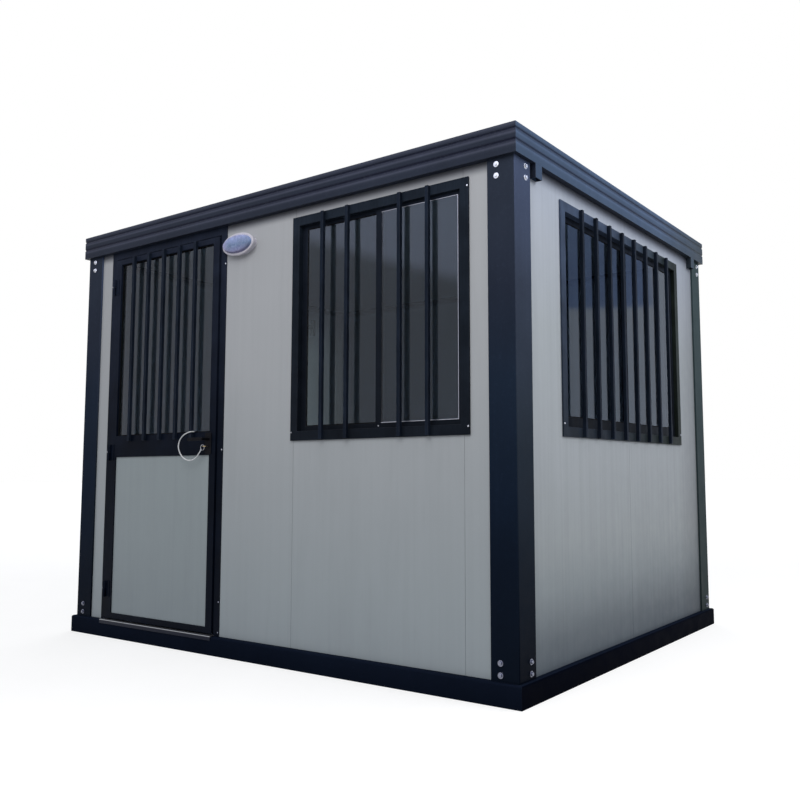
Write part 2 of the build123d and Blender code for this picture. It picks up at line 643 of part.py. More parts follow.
with BuildPart() as hinge_leaf_halves:
    for height in HINGE_HEIGHTS:
        low = height - HINGE_HEIGHT / 2
        top_low = low + HALF_KNUCKLE + KNUCKLE_GAP
        with BuildSketch(FRONT):
            rectangle(LEAF_LEFT, LEAF_LEFT + HINGE_PLATE_WIDTH, low, low + HINGE_HEIGHT)
        extrude(amount=HINGE_PLATE)
        with BuildSketch(Plane.XY.offset(top_low)):
            with Locations((HINGE_X, HINGE_Y)):
                Circle(HINGE_RADIUS)
            rectangle(HINGE_X, LEAF_LEFT + HINGE_RADIUS, HINGE_Y - HINGE_PLATE / 2, HINGE_Y + HINGE_OUT)
            with Locations((HINGE_X, HINGE_Y)):
                Circle(HINGE_PIN_RADIUS + HINGE_PIN_CLEARANCE, mode=Mode.SUBTRACT)
        extrude(amount=HALF_KNUCKLE)
save(hinge_leaf_halves.part, "hinge_leaf_halves")


# ---- lock: plates on both faces with the cylinder through them ----
OUTER_PLATE = FRONT
INNER_PLATE = FRONT.offset(-LEAF_THICKNESS)
PLATE_CENTRE = (HANDLE_X, HANDLE_PLATE_CENTRE_Z)
with BuildPart() as door_lock:
    for plane, thickness in ((OUTER_PLATE, HANDLE_PLATE_THICKNESS), (INNER_PLATE, -HANDLE_PLATE_THICKNESS)):
        with BuildSketch(plane):
            with Locations(PLATE_CENTRE):
                RectangleRounded(HANDLE_PLATE_WIDTH, HANDLE_PLATE_HEIGHT, HANDLE_PLATE_WIDTH / 8)
            with Locations(HANDLE_AXIS):
                Circle(NECK_RADIUS + NECK_RUNNING_GAP, mode=Mode.SUBTRACT)
        extrude(amount=thickness)
    with BuildSketch(FRONT.offset(HANDLE_PLATE_THICKNESS + CYLINDER_PROUD)):
        with Locations(CYLINDER_AXIS):
            Circle(CYLINDER_RADIUS)
    extrude(amount=-LEAF_THICKNESS - 2 * (HANDLE_PLATE_THICKNESS + CYLINDER_PROUD))
save(door_lock.part, "door_lock")

with BuildPart() as door_handle:
    with BuildSketch(FRONT.offset(LEVER_STAND_OFF)):
        with Locations(HANDLE_AXIS):
            Circle(SPINDLE_RADIUS)
    extrude(amount=-LEAF_THICKNESS - 2 * LEVER_STAND_OFF)
    for plane, outward in ((OUTER_PLATE, 1), (INNER_PLATE, -1)):
        with BuildSketch(plane.offset(outward * NECK_RUNNING_GAP)):
            with Locations(HANDLE_AXIS):
                Circle(NECK_RADIUS)
        extrude(amount=outward * (LEVER_STAND_OFF - NECK_RUNNING_GAP))
        with BuildSketch(plane.offset(outward * LEVER_STAND_OFF)):
            with Locations((HANDLE_X - (LEVER_LENGTH - LEVER_HEIGHT) / 2, HANDLE_AXIS_Z)):
                SlotOverall(LEVER_LENGTH, LEVER_HEIGHT)
        extrude(amount=outward * LEVER_THICKNESS)
save(door_handle.part, "door_handle")

# ---- key in the cylinder, its ring, and the white cord from the ring round the last bar ----
KEY_START = HANDLE_PLATE_THICKNESS + CYLINDER_PROUD
BOW_OUT = KEY_START + KEY_REACH - KEY_BOW_RADIUS
BOW_Y = -HALF_DEPTH - BOW_OUT
KEY_HOLE_X = HANDLE_X - KEY_HOLE_OFFSET
with BuildPart() as door_key:
    with BuildSketch(Plane.XY.offset(CYLINDER_Z - KEY_THICKNESS / 2)):
        with Locations((HANDLE_X, BOW_Y)):
            Circle(KEY_BOW_RADIUS)
        rectangle(HANDLE_X - KEY_BLADE / 2, HANDLE_X + KEY_BLADE / 2, BOW_Y, -HALF_DEPTH - KEY_START)
        with Locations((KEY_HOLE_X, BOW_Y)):
            Circle(KEY_HOLE_RADIUS, mode=Mode.SUBTRACT)
    extrude(amount=KEY_THICKNESS)
save(door_key.part, "door_key")

RING_X = KEY_HOLE_X - (RING_RADIUS**2 - RING_HANG**2) ** 0.5
RING_CENTRE = (RING_X, BOW_Y, CYLINDER_Z - RING_HANG)
with BuildPart() as key_ring:
    with BuildSketch(Plane(origin=RING_CENTRE, x_dir=(1, 0, 0), z_dir=(0, 0, 1))):
        with Locations((RING_RADIUS, 0)):
            Circle(RING_WIRE_RADIUS)
    revolve(axis=Axis(RING_CENTRE, (0, 1, 0)))
save(key_ring.part, "key_ring")


def bend_radii(points, tight_corners, tight_radius):
    """Radius at each inner corner: as large as its two runs allow, or the tight one round the bar."""
    radii = []
    for index in range(1, len(points) - 1):
        before = points[index] - points[index - 1]
        after = points[index + 1] - points[index]
        half_turn = radians(before.get_angle(after)) / 2
        widest = 0.45 * min(before.length, after.length) / tan(half_turn)
        radii.append(tight_radius if index <= tight_corners else widest)
    return radii


LAST_BAR_SIDE = (PANE_LEFT + PANE_RIGHT + (DOOR_BAR_COUNT - 1) * DOOR_BAR_PITCH + BAR) / 2
bar_corner = Vector(LAST_BAR_SIDE, -HALF_DEPTH - BAR, MID_RAIL_HIGH)
cord_back = bar_corner + Vector(0, BAR + CORD_BAR_GAP, CORD_FOLD_RISE)
cord_fold = [
    cord_back + Vector(CORD_BACK_START, 0, 0),
    cord_back + Vector(CORD_SIDE_GAP, 0, 0),
    bar_corner + Vector(CORD_SIDE_GAP, -CORD_BAR_GAP, CORD_FOLD_RISE),
]
cord_hang = [bar_corner + Vector(along, -out, up) for along, out, up in CORD_POINTS]
cord_end = Vector(*RING_CENTRE) + Vector(RING_RADIUS + CORD_END_GAP, 0, 0).rotate(Axis.Y, -CORD_END_ANGLE)
cord_route = cord_fold + cord_hang + [cord_end]
cord_radii = bend_radii(cord_route, CORD_TIGHT_CORNERS, CORD_TIGHT_RADIUS)
print("cord radii", [round(radius, 1) for radius in cord_radii])
with BuildPart() as key_cord:
    with BuildLine() as cord_line:
        FilletPolyline(*cord_route, radius=cord_radii)
    with BuildSketch(Plane(origin=cord_line.line @ 0, z_dir=cord_line.line % 0)):
        Circle(CORD_RADIUS)
    sweep()
save(key_cord.part, "key_cord")
cord_length = sum(edge.length for edge in cord_line.edges())
print("cord length", round(cord_length, 1))
print("cord volume over section times length", key_cord.part.volume / (pi * CORD_RADIUS**2 * cord_length))

# ---- oval bulkhead lamp on the wall ----
LAMP_CENTRE = (DOORWAY_RIGHT + LAMP_OFFSET, FASCIA_BOTTOM - LAMP_DROP)
with BuildPart() as lamp_base:
    with BuildSketch(FRONT.offset(-PANEL_RECESS)):
        with Locations(LAMP_CENTRE):
            Ellipse(LAMP_WIDTH / 2, LAMP_HEIGHT / 2)
    extrude(amount=LAMP_BASE_DEPTH, taper=-LAMP_BASE_FLARE)
    fillet(lamp_base.faces().sort_by(Axis.Y)[0].edges(), radius=LAMP_RIM_ROUND)
save(lamp_base.part, "lamp_base")

with BuildPart() as lamp_lens:
    with BuildSketch(FRONT.offset(LAMP_BASE_DEPTH - PANEL_RECESS)):
        with Locations(LAMP_CENTRE):
            Ellipse(LAMP_RIM[0] / 2 - LAMP_BEZEL, LAMP_RIM[1] / 2 - LAMP_BEZEL)
    extrude(amount=LAMP_LENS_DEPTH, taper=LAMP_LENS_TAPER)
    fillet(lamp_lens.faces().sort_by(Axis.Y)[0].edges(), radius=LAMP_LENS_ROUND)
save(lamp_lens.part, "lamp_lens")
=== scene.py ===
"""Security guard booth: the finished visual model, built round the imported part."""

import json
import math

import bmesh
import bpy
from mathutils import Matrix, Vector

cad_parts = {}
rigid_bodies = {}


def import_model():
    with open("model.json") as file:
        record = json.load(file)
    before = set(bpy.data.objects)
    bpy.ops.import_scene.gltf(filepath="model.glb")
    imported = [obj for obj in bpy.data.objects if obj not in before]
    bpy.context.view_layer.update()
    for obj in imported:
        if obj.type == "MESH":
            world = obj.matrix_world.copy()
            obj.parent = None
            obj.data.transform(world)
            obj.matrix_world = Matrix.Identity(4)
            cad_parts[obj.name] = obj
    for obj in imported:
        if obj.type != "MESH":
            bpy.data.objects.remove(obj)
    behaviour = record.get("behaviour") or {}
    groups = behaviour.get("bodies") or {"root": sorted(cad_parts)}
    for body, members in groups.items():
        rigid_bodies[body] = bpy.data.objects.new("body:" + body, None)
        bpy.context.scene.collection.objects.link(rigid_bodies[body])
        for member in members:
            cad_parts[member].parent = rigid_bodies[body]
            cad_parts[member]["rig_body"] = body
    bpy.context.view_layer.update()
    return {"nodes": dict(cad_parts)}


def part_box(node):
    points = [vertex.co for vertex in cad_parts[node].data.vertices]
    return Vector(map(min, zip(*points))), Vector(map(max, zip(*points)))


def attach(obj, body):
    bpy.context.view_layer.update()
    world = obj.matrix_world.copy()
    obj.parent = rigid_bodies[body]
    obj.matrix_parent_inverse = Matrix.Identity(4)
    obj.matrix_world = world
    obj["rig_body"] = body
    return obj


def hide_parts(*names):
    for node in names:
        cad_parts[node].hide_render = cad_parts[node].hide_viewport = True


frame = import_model()

MM = 0.001
X_AXIS = Vector((1, 0, 0))
Y_AXIS = Vector((0, 1, 0))
Z_AXIS = Vector((0, 0, 1))
CLIMB_TOP = 2.4  # height at which the colour ramps end


# ---------------------------------------------------------------- camera and key cord

EYE_PLACE = (3.2135, -4.0884, 0.9072)
EYE_TURN = (34.872, 5.451, -0.188)  # heading, rise and roll in degrees
EYE_SHIFT = (-0.05933, -0.00886)
LENS_LENGTH = 38.335
SENSOR_WIDTH = 36.0
FAR_CLIP = 400.0


def set_camera():
    """Waist height off the booth's front right corner, looking a little up."""
    camera = bpy.data.cameras.new("booth_camera")
    camera.sensor_width = SENSOR_WIDTH
    camera.lens = LENS_LENGTH
    camera.shift_x, camera.shift_y = EYE_SHIFT
    camera.clip_end = FAR_CLIP
    heading, rise, roll = (math.radians(angle) for angle in EYE_TURN)
    forward = Vector(
        (
            -math.sin(heading) * math.cos(rise),
            math.cos(heading) * math.cos(rise),
            math.sin(rise),
        )
    )
    level = Vector((math.cos(heading), math.sin(heading), 0.0))
    upright = level.cross(forward)
    right = level * math.cos(roll) + upright * math.sin(roll)
    up = upright * math.cos(roll) - level * math.sin(roll)
    turn = Matrix((right, up, -forward)).transposed().to_4x4()
    eye = bpy.data.objects.new("booth_camera", camera)
    eye.matrix_world = Matrix.Translation(EYE_PLACE) @ turn
    bpy.context.scene.collection.objects.link(eye)
    bpy.context.scene.camera = eye


CORD_RADIUS = 3 * MM


def hang_key_cord():
    """The limp white cord that ties the key ring to the last bar of the door."""
    route = (
        (-0.49897, -1.1408, 1.1365),
        (-0.47677, -1.1408, 1.1365),
        (-0.47677, -1.1672, 1.1365),
        (-0.50697, -1.1680, 1.1310),
        (-0.54297, -1.1690, 1.1170),
        (-0.56997, -1.1690, 1.0900),
        (-0.57797, -1.1690, 1.0580),
        (-0.56697, -1.1680, 1.0280),
        (-0.54397, -1.1680, 1.0030),
        (-0.51397, -1.1680, 0.9880),
        (-0.47997, -1.1680, 0.9830),
        (-0.44497, -1.1690, 0.9890),
        (-0.41597, -1.1690, 1.0070),
        (-0.39096, -1.1690, 1.03869),
    )
    line = bpy.data.curves.new("key_strap", "CURVE")
    line.dimensions = "3D"
    line.bevel_depth = 1.0  # times the radius of each point
    line.bevel_resolution = 5
    line.resolution_u = 16  # steps between two points
    line.use_fill_caps = True
    strand = line.splines.new("NURBS")
    strand.points.add(len(route) - 1)
    for point, place in zip(strand.points, route):
        point.co = (*place, 1.0)
        point.radius = CORD_RADIUS
    strand.order_u = 3
    strand.use_endpoint_u = True
    cord = bpy.data.objects.new("key_strap", line)
    bpy.context.scene.collection.objects.link(cord)
    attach(cord, "door")
    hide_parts("key_cord")
    return cord


set_camera()
key_strap = hang_key_cord()


# ---------------------------------------------------------------- finishes


COAT_ROUGHNESS = 0.1


class Finish:
    """One material: a Principled shader whose colour, roughness and bump come from nodes."""

    def __init__(self, name, roughness=0.5, metallic=0.0, specular=0.5, coat=0.0):
        self.material = bpy.data.materials.new(name)
        self.material.use_nodes = True
        self.tree = self.material.node_tree
        self.tree.nodes.clear()
        self.shader = self.add("ShaderNodeBsdfPrincipled")
        self.output = self.add("ShaderNodeOutputMaterial")
        self.join(self.shader.outputs[0], self.output.inputs["Surface"])
        self.shader.inputs["Roughness"].default_value = roughness
        self.shader.inputs["Metallic"].default_value = metallic
        self.shader.inputs["Specular IOR Level"].default_value = specular
        self.shader.inputs["Coat Weight"].default_value = coat
        self.shader.inputs["Coat Roughness"].default_value = COAT_ROUGHNESS
        coordinates = self.add("ShaderNodeTexCoord")
        self.place = coordinates.outputs["Object"]
        self.facing = coordinates.outputs["Normal"]
        axes = self.add("ShaderNodeSeparateXYZ")
        self.join(self.place, axes.inputs[0])
        self.across, self.depth, self.height = axes.outputs

    def add(self, kind):
        return self.tree.nodes.new(kind)

    def join(self, source, socket):
        if isinstance(source, bpy.types.NodeSocket):
            self.tree.links.new(source, socket)
        else:
            socket.default_value = source

    def noise(self, scale, detail=4.0, roughness=0.55, stretch=(1, 1, 1), distortion=0.0):
        """Noise from 0 to 1, squeezed along the axes by stretch."""
        mapping = self.add("ShaderNodeMapping")
        mapping.inputs["Scale"].default_value = stretch
        self.join(self.place, mapping.inputs["Vector"])
        texture = self.add("ShaderNodeTexNoise")
        texture.inputs["Scale"].default_value = scale
        texture.inputs["Detail"].default_value = detail
        texture.inputs["Roughness"].default_value = roughness
        texture.inputs["Distortion"].default_value = distortion
        self.join(mapping.outputs[0], texture.inputs["Vector"])
        return texture.outputs[0]

    def span(self, value, low, high, start=0.0, end=1.0):
        """value read from low to high as start to end, held at both ends."""
        node = self.add("ShaderNodeMapRange")
        node.clamp = True
        self.join(value, node.inputs["Value"])
        limits = {"From Min": low, "From Max": high, "To Min": start, "To Max": end}
        for name, number in limits.items():
            node.inputs[name].default_value = number
        return node.outputs[0]

    def sum(self, operation, first, second=0.0):
        node = self.add("ShaderNodeMath")
        node.operation = operation
        self.join(first, node.inputs[0])
        self.join(second, node.inputs[1])
        return node.outputs[0]

    def blend(self, share, first, second):
        """The first colour turning into the second by share."""
        node = self.add("ShaderNodeMix")
        node.data_type = "RGBA"
        node.clamp_factor = True
        self.join(share, node.inputs[0])
        for source, socket in ((first, node.inputs[6]), (second, node.inputs[7])):
            if not isinstance(source, bpy.types.NodeSocket):
                source = (*source, 1.0)
            self.join(source, socket)
        return node.outputs[2]

    def ramp(self, value, stops):
        """A colour read off (position, colour) stops by value."""
        node = self.add("ShaderNodeValToRGB")
        bar = node.color_ramp
        for position, _ in stops[1:-1]:
            bar.elements.new(position)
        for element, (position, colour) in zip(bar.elements, stops):
            element.position = position
            element.color = (*colour, 1.0)
        self.join(value, node.inputs[0])
        return node.outputs[0]

    def climb(self, stops):
        """A colour that changes up the cabin, from (height in metres, colour) stops."""
        share = self.sum("DIVIDE", self.height, CLIMB_TOP)
        return self.ramp(share, [(z / CLIMB_TOP, tone) for z, tone in stops])

    def scaled(self, tone, factor):
        """A colour made lighter or darker by a factor."""
        node = self.add("ShaderNodeVectorMath")
        node.operation = "SCALE"
        self.join(tone, node.inputs[0])
        self.join(factor, node.inputs["Scale"])
        return node.outputs[0]

    def side_on(self):
        """1 on faces that look along X, 0 on the others."""
        axes = self.add("ShaderNodeSeparateXYZ")
        self.join(self.facing, axes.inputs[0])
        return self.span(self.sum("ABSOLUTE", axes.outputs[0]), 0.45, 0.55)

    def worn(self):
        """1 on the eased edges of a piece, 0 on its faces."""
        node = self.add("ShaderNodeAttribute")
        node.attribute_name = "eased_edge"
        return node.outputs["Fac"]

    def colour(self, source):
        self.join(source, self.shader.inputs["Base Color"])

    def rough(self, source):
        self.join(source, self.shader.inputs["Roughness"])

    def bump(self, *layers):
        """Relief from (height, strength, distance in metres) layers, coarse first."""
        normal = None
        for height, strength, distance in layers:
            node = self.add("ShaderNodeBump")
            node.inputs["Strength"].default_value = strength
            node.inputs["Distance"].default_value = distance
            self.join(height, node.inputs["Height"])
            if normal is not None:
                self.join(normal, node.inputs["Normal"])
            normal = node.outputs[0]
        self.join(normal, self.shader.inputs["Normal"])


SETTLED_DUST = 0.3  # how much paler settled dust makes the frame's paint


def frame_paint(
    name, front, side=None, specular=0.015, roughness=0.42, edge=(0.07, 0.08, 0.10), rear=None
):
    """Navy black polyester paint.

    front is its colour up the cabin, side the same on faces that look along X, and rear the colour
    that it turns into towards the back wall. On the posts, the fascia and the base rails these
    tones hold painted light and shade: side is a copy of front that is lit differently, rear is
    painted shade, and up the posts the paint is painted darker towards the ground.
    """
    paint = Finish(name, specular=specular)
    base = paint.climb(front)
    # Painted light and shade: faces along X take their own, differently lit copy of the colour.
    if side:
        base = paint.blend(paint.side_on(), base, paint.climb(side))
    # Painted shade towards the back wall.
    if rear:
        base = paint.blend(paint.span(paint.depth, 0.45, 1.10, 0.0, 0.85), base, rear)
    mottled = paint.span(paint.noise(2.3, 5, 0.6), 0.32, 0.68, 0.88, 1.12)
    base = paint.scaled(base, mottled)
    runs = paint.span(paint.noise(26, 3, 0.5, (1, 1, 0.05)), 0.52, 0.80, 1.0, 1.09)
    base = paint.scaled(base, runs)
    settled = paint.span(paint.noise(60, 6, 0.7), 0.54, 0.80)
    base = paint.scaled(base, paint.span(settled, 0.0, 1.0, 1.0, 1.0 + SETTLED_DUST))
    # Paler worn edges: partly chipped paint, partly a painted edge highlight.
    chips = paint.span(paint.noise(95, 3, 0.6), 0.50, 0.64)
    edge_wear_and_glint = paint.sum("MULTIPLY", paint.worn(), paint.span(chips, 0.0, 1.0, 0.10, 0.40))
    base = paint.blend(edge_wear_and_glint, base, edge)
    paint.colour(base)
    sheen = paint.span(paint.noise(9, 6, 0.65), 0.3, 0.7, roughness - 0.07, roughness + 0.09)
    paint.rough(paint.sum("ADD", sheen, paint.sum("MULTIPLY", settled, 0.12)))
    paint.bump(
        (paint.noise(3.1, 2, 0.4), 0.12, 0.006),
        (paint.noise(420, 2, 0.5), 0.10, 0.0004),
    )
    return paint.material


def panel_skin(name, tones, corner_shade=1.0, relief=1.0, streaky=0.965):
    """Coated steel skin of the sandwich panels: rolled streaks, rain washes, specks and clouds,
    over tones up the cabin that hold painted light and shade on the walls.

    corner_shade is the painted shade at the wall's rear corner; below 1 the skin is also painted
    lighter towards the wall's front end and darker towards its rear.
    """
    skin = Finish(name, specular=0.3)
    cloudy = skin.span(skin.noise(1.3, 5, 0.6), 0.3, 0.7, 0.972, 1.028)
    base = skin.scaled(skin.climb(tones), cloudy)
    streaks = skin.span(skin.noise(34, 4, 0.6, (1, 1, 0.018)), 0.40, 0.72, 1.0, streaky)
    base = skin.scaled(base, streaks)
    washes = skin.span(skin.noise(11, 5, 0.65, (1, 1, 0.12), 0.6), 0.52, 0.78, 1.0, 0.95)
    base = skin.scaled(base, washes)
    specks = skin.span(skin.noise(170, 3, 0.6), 0.66, 0.74, 1.0, 0.90)
    base = skin.scaled(base, specks)
    # Painted shade at the rear corner, and painted light towards the front end.
    if corner_shade < 1.0:
        base = skin.scaled(base, skin.span(skin.depth, 0.70, 1.0, 1.0, corner_shade))
        base = skin.scaled(base, skin.span(skin.depth, -0.9, 0.7, 1.10, 0.94))
    worn = skin.span(skin.worn(), 0.0, 1.0, 1.0, 0.72)
    skin.colour(skin.scaled(base, worn))
    low = skin.span(skin.height, 0.09, 0.55, 0.16, 0.0)
    sheen = skin.span(skin.noise(14, 5, 0.6), 0.3, 0.7, 0.40, 0.52)
    skin.rough(skin.sum("ADD", sheen, low))
    skin.bump(
        (skin.noise(2.2, 2, 0.4, (1, 1, 0.6)), 0.10 * relief, 0.01),
        (skin.noise(300, 2, 0.5), 0.08 * relief, 0.0004),
    )
    return skin.material


SECTION_GRIME = 0.25
SECTION_SPECULAR = 0.03
# Tone of the worn edges: partly bare metal, partly a painted edge highlight.
EDGE_WEAR_AND_GLINT_TONE = (0.055, 0.062, 0.075)


def dark_aluminium(name, foot, head, roughness=0.36, rear=None):
    """Dark coated section: fine drawn lines, cloudy grime, paler worn edges that are partly bare
    metal and partly a painted edge highlight, and painted light from foot to head, with rear as
    painted shade.
    """
    metal = Finish(name, specular=SECTION_SPECULAR)
    drawn = metal.span(metal.noise(150, 3, 0.6, (1, 1, 0.03)), 0.35, 0.70, 0.92, 1.14)
    # Painted light: paler from foot to head.
    base = metal.blend(metal.span(metal.height, 1.0, 2.1), foot, head)
    # Painted shade towards the back.
    if rear:
        base = metal.blend(metal.span(metal.depth, -0.3, 0.7), base, rear)
    grime = metal.noise(6, 5, 0.6)
    base = metal.scaled(
        base, metal.span(grime, 0.35, 0.65, 1.0 - SECTION_GRIME, 1.0 + SECTION_GRIME)
    )
    base = metal.scaled(base, drawn)
    # Paler worn edges: partly bare metal, partly a painted edge highlight.
    edge_wear_and_glint = metal.span(metal.noise(70, 4, 0.6), 0.44, 0.62, 0.08, 0.40)
    base = metal.blend(metal.sum("MULTIPLY", edge_wear_and_glint, metal.worn()), base, EDGE_WEAR_AND_GLINT_TONE)
    metal.colour(base)
    metal.rough(metal.span(metal.noise(22, 5, 0.65), 0.3, 0.7, roughness - 0.08, roughness + 0.10))
    metal.bump(
        (metal.noise(150, 3, 0.6, (1, 1, 0.03)), 0.06, 0.0004),
        (metal.noise(520, 2, 0.5), 0.06, 0.0002),
    )
    return metal.material


TARNISH = 0.5
# Tone of the painted shade on the threshold's lip.
LIP_SHADE_TONE = (0.012, 0.014, 0.024)
LIP_SHADE_EDGE = 0.001  # half the width over which the painted shade on the threshold's lip ends


def bare_metal(
    name, colour, dull, roughness, scratch_scale=220, stretch=(1, 1, 1), shaded_lip=None, foot=None
):
    """Bare metal with tarnish and fine scratches.

    The painted shade on a lip is given by its height and its end in X, below and left of which the
    metal is painted dark; foot is the colour that it turns into towards the ground, a painted
    shade.
    """
    metal = Finish(name, metallic=1.0)
    clouds = metal.span(metal.noise(38, 5, 0.65), 0.35, 0.70)
    base = metal.blend(metal.sum("MULTIPLY", clouds, TARNISH), colour, dull)
    pits = metal.span(metal.noise(scratch_scale * 1.7, 3, 0.6), 0.58, 0.70)
    base = metal.blend(metal.sum("MULTIPLY", pits, 0.45), base, tuple(c * 0.4 for c in dull))
    # Painted shade: darker towards the ground.
    if foot:
        base = metal.blend(metal.span(metal.height, 0.2, 1.6), foot, base)
    # Painted shade on the threshold's lip, low down and towards its left.
    if shaded_lip:
        top, end = shaded_lip
        lip_shade = metal.sum(
            "MULTIPLY",
            metal.span(metal.height, top - LIP_SHADE_EDGE, top + LIP_SHADE_EDGE, 1.0, 0.0),
            metal.span(metal.across, end - LIP_SHADE_EDGE, end + LIP_SHADE_EDGE, 1.0, 0.0),
        )
        base = metal.blend(lip_shade, base, LIP_SHADE_TONE)
    metal.colour(base)
    lines = metal.noise(scratch_scale, 4, 0.65, stretch)
    metal.rough(metal.span(lines, 0.3, 0.7, roughness - 0.09, roughness + 0.14))
    metal.bump((lines, 0.12, 0.0003))
    return metal.material


GLASS_FILM = 0.025  # roughness where the film of dust is thickest


def window_glass(name, tint, bending, mirror_tint, haze=0.0):
    """Float glass with a faint tint, rain marks and a patchy film of dust.

    haze is the share of it that is plain dull colour.
    """
    glass = Finish(name, roughness=0.0)
    glass.shader.inputs["Transmission Weight"].default_value = 1.0 - haze
    glass.shader.inputs["IOR"].default_value = bending
    glass.shader.inputs["Specular Tint"].default_value = (*mirror_tint, 1.0)
    marks = glass.span(glass.noise(18, 5, 0.7, (1, 1, 0.25)), 0.55, 0.80)
    marked = tuple(c * 0.8 for c in tint)
    glass.colour(glass.blend(glass.sum("MULTIPLY", marks, 0.25), tint, marked))
    film = glass.span(glass.noise(7, 6, 0.7, (1, 1, 0.3)), 0.45, 0.80, 0.0, GLASS_FILM)
    glass.rough(film)
    glass.bump((glass.noise(1.7, 1, 0.3), 0.05, 0.004))
    return glass.material


def moulded(name, colour, shade, roughness, specular=0.5, grain=260, relief=0.12):
    """Moulded plastic or rubber: mottled colour, fine grain, handling marks on its edges."""
    plastic = Finish(name, specular=specular)
    clouds = plastic.span(plastic.noise(24, 5, 0.6), 0.3, 0.7)
    base = plastic.blend(clouds, colour, shade)
    handled = tuple(min(1.0, c * 1.6 + 0.01) for c in colour)
    base = plastic.blend(plastic.sum("MULTIPLY", plastic.worn(), 0.35), base, handled)
    plastic.colour(base)
    sheen = plastic.noise(60, 4, 0.6)
    plastic.rough(plastic.span(sheen, 0.3, 0.7, roughness - 0.08, roughness + 0.10))
    plastic.bump((plastic.noise(grain, 3, 0.6), relief, 0.0003))
    return plastic.material


def lens_plastic():
    """Violet blue lens, painted paler towards its top as painted light, with a painted highlight
    at its left end.
    """
    lens = Finish("lamp_lens_plastic", roughness=0.25, specular=0.3, coat=0.3)
    # Painted light: darker low down, paler towards the top.
    tones = lens.ramp(
        lens.span(lens.height, 2.045, 2.150),
        (
            (0.0, (0.20, 0.18, 0.34)),
            (0.45, (0.15, 0.22, 0.37)),
            (0.75, (0.29, 0.36, 0.62)),
            (1.0, (0.42, 0.41, 0.68)),
        ),
    )
    # Painted highlight at the lens's left end.
    tones = lens.blend(lens.span(lens.across, -0.250, -0.205, 0.7, 0.0), tones, (0.50, 0.44, 0.70))
    lens.colour(lens.scaled(tones, lens.span(lens.noise(38, 5, 0.6), 0.3, 0.7, 0.85, 1.18)))
    lens.rough(lens.span(lens.noise(90, 4, 0.6), 0.3, 0.7, 0.18, 0.34))
    lens.bump((lens.noise(300, 3, 0.6), 0.04, 0.0003))
    return lens.material


# Painted light and shade on the front posts: their paint is painted far darker towards the ground,
# and POST_SIDE, for faces along X, is a lighter and bluer copy that paints the sky's reflection.
POST_FRONT = (
    (0.15, (0.0040, 0.0070, 0.0140)),
    (0.80, (0.0070, 0.0130, 0.0270)),
    (1.30, (0.0125, 0.0210, 0.0390)),
    (1.70, (0.0230, 0.0300, 0.0500)),
    (2.15, (0.0290, 0.0370, 0.0570)),
)
POST_SIDE = (
    (0.15, (0.0008, 0.0025, 0.0070)),
    (0.60, (0.0085, 0.0140, 0.0240)),
    (1.10, (0.0190, 0.0270, 0.0400)),
    (1.70, (0.0400, 0.0520, 0.0830)),
    (2.15, (0.0650, 0.0870, 0.1550)),
)
POST_BACK = (
    (0.15, (0.022, 0.033, 0.034)),
    (1.20, (0.033, 0.049, 0.053)),
    (2.15, (0.044, 0.066, 0.072)),
)
FASCIA_GROOVES = (2.274, 2.322)  # heights of the two pressed grooves


def grooved(mid, pale, deep):
    """Tones up the fascia: painted shade deep inside each groove, and a painted highlight on the
    pale lip of sheet just below it and at the fascia's top.
    """
    stops = [(2.222, mid)]
    lip = ((-0.025, mid), (-0.017, pale), (-0.011, pale))
    groove_shade_tones = ((-0.004, deep), (0.004, deep), (0.009, mid))
    for groove in FASCIA_GROOVES:
        for rise, tone in lip + groove_shade_tones:
            stops.append((groove + rise, tone))
    return (*stops, (2.348, pale))


# Painted light and shade: FASCIA_SIDE, for faces along X, is a lighter and bluer copy of
# FASCIA_FRONT that paints the sky's reflection.
FASCIA_FRONT = grooved((0.023, 0.029, 0.046), (0.062, 0.070, 0.104), (0.008, 0.010, 0.024))
FASCIA_SIDE = grooved((0.050, 0.080, 0.138), (0.075, 0.115, 0.200), (0.018, 0.028, 0.058))
# RAIL_SIDE, for the base rails' faces along X, is a much darker copy of RAIL_FRONT: painted shade.
RAIL_FRONT = ((0.0, (0.0042, 0.0068, 0.0145)), (0.10, (0.0058, 0.0092, 0.0195)))
RAIL_SIDE = ((0.0, (0.0004, 0.0010, 0.0035)), (0.10, (0.0008, 0.0016, 0.0050)))
# Painted shade on the front, back and left walls: darker towards the ground, and falling to near
# black in the last few centimetres under the fascia as a painted shadow.
FRONT_SKIN = (
    (0.10, (0.322, 0.362, 0.392)),
    (0.40, (0.340, 0.378, 0.404)),
    (0.80, (0.366, 0.394, 0.418)),
    (1.40, (0.412, 0.428, 0.450)),
    (2.170, (0.420, 0.430, 0.452)),
    (2.190, (0.240, 0.248, 0.270)),
    (2.207, (0.090, 0.094, 0.110)),
)
# Painted light and shade on the right wall: far darker towards the ground, lighter and bluer near
# the top, and a painted shadow under the fascia.
SIDE_SKIN = (
    (0.10, (0.082, 0.100, 0.118)),
    (0.21, (0.108, 0.128, 0.146)),
    (0.42, (0.220, 0.250, 0.268)),
    (0.62, (0.288, 0.315, 0.332)),
    (1.00, (0.340, 0.366, 0.392)),
    (1.55, (0.366, 0.398, 0.425)),
    (1.90, (0.400, 0.434, 0.490)),
    (2.150, (0.395, 0.436, 0.515)),
    (2.174, (0.270, 0.300, 0.365)),
    (2.188, (0.150, 0.165, 0.205)),
    (2.205, (0.060, 0.068, 0.090)),
)
DOOR_SKIN = ((0.10, (0.270, 0.310, 0.335)), (1.00, (0.295, 0.337, 0.355)))
CEILING_SKIN = ((0.0, (0.60, 0.61, 0.61)), (2.40, (0.60, 0.61, 0.61)))
ROOF_SKIN = ((0.0, (0.40, 0.41, 0.42)), (2.40, (0.44, 0.45, 0.46)))
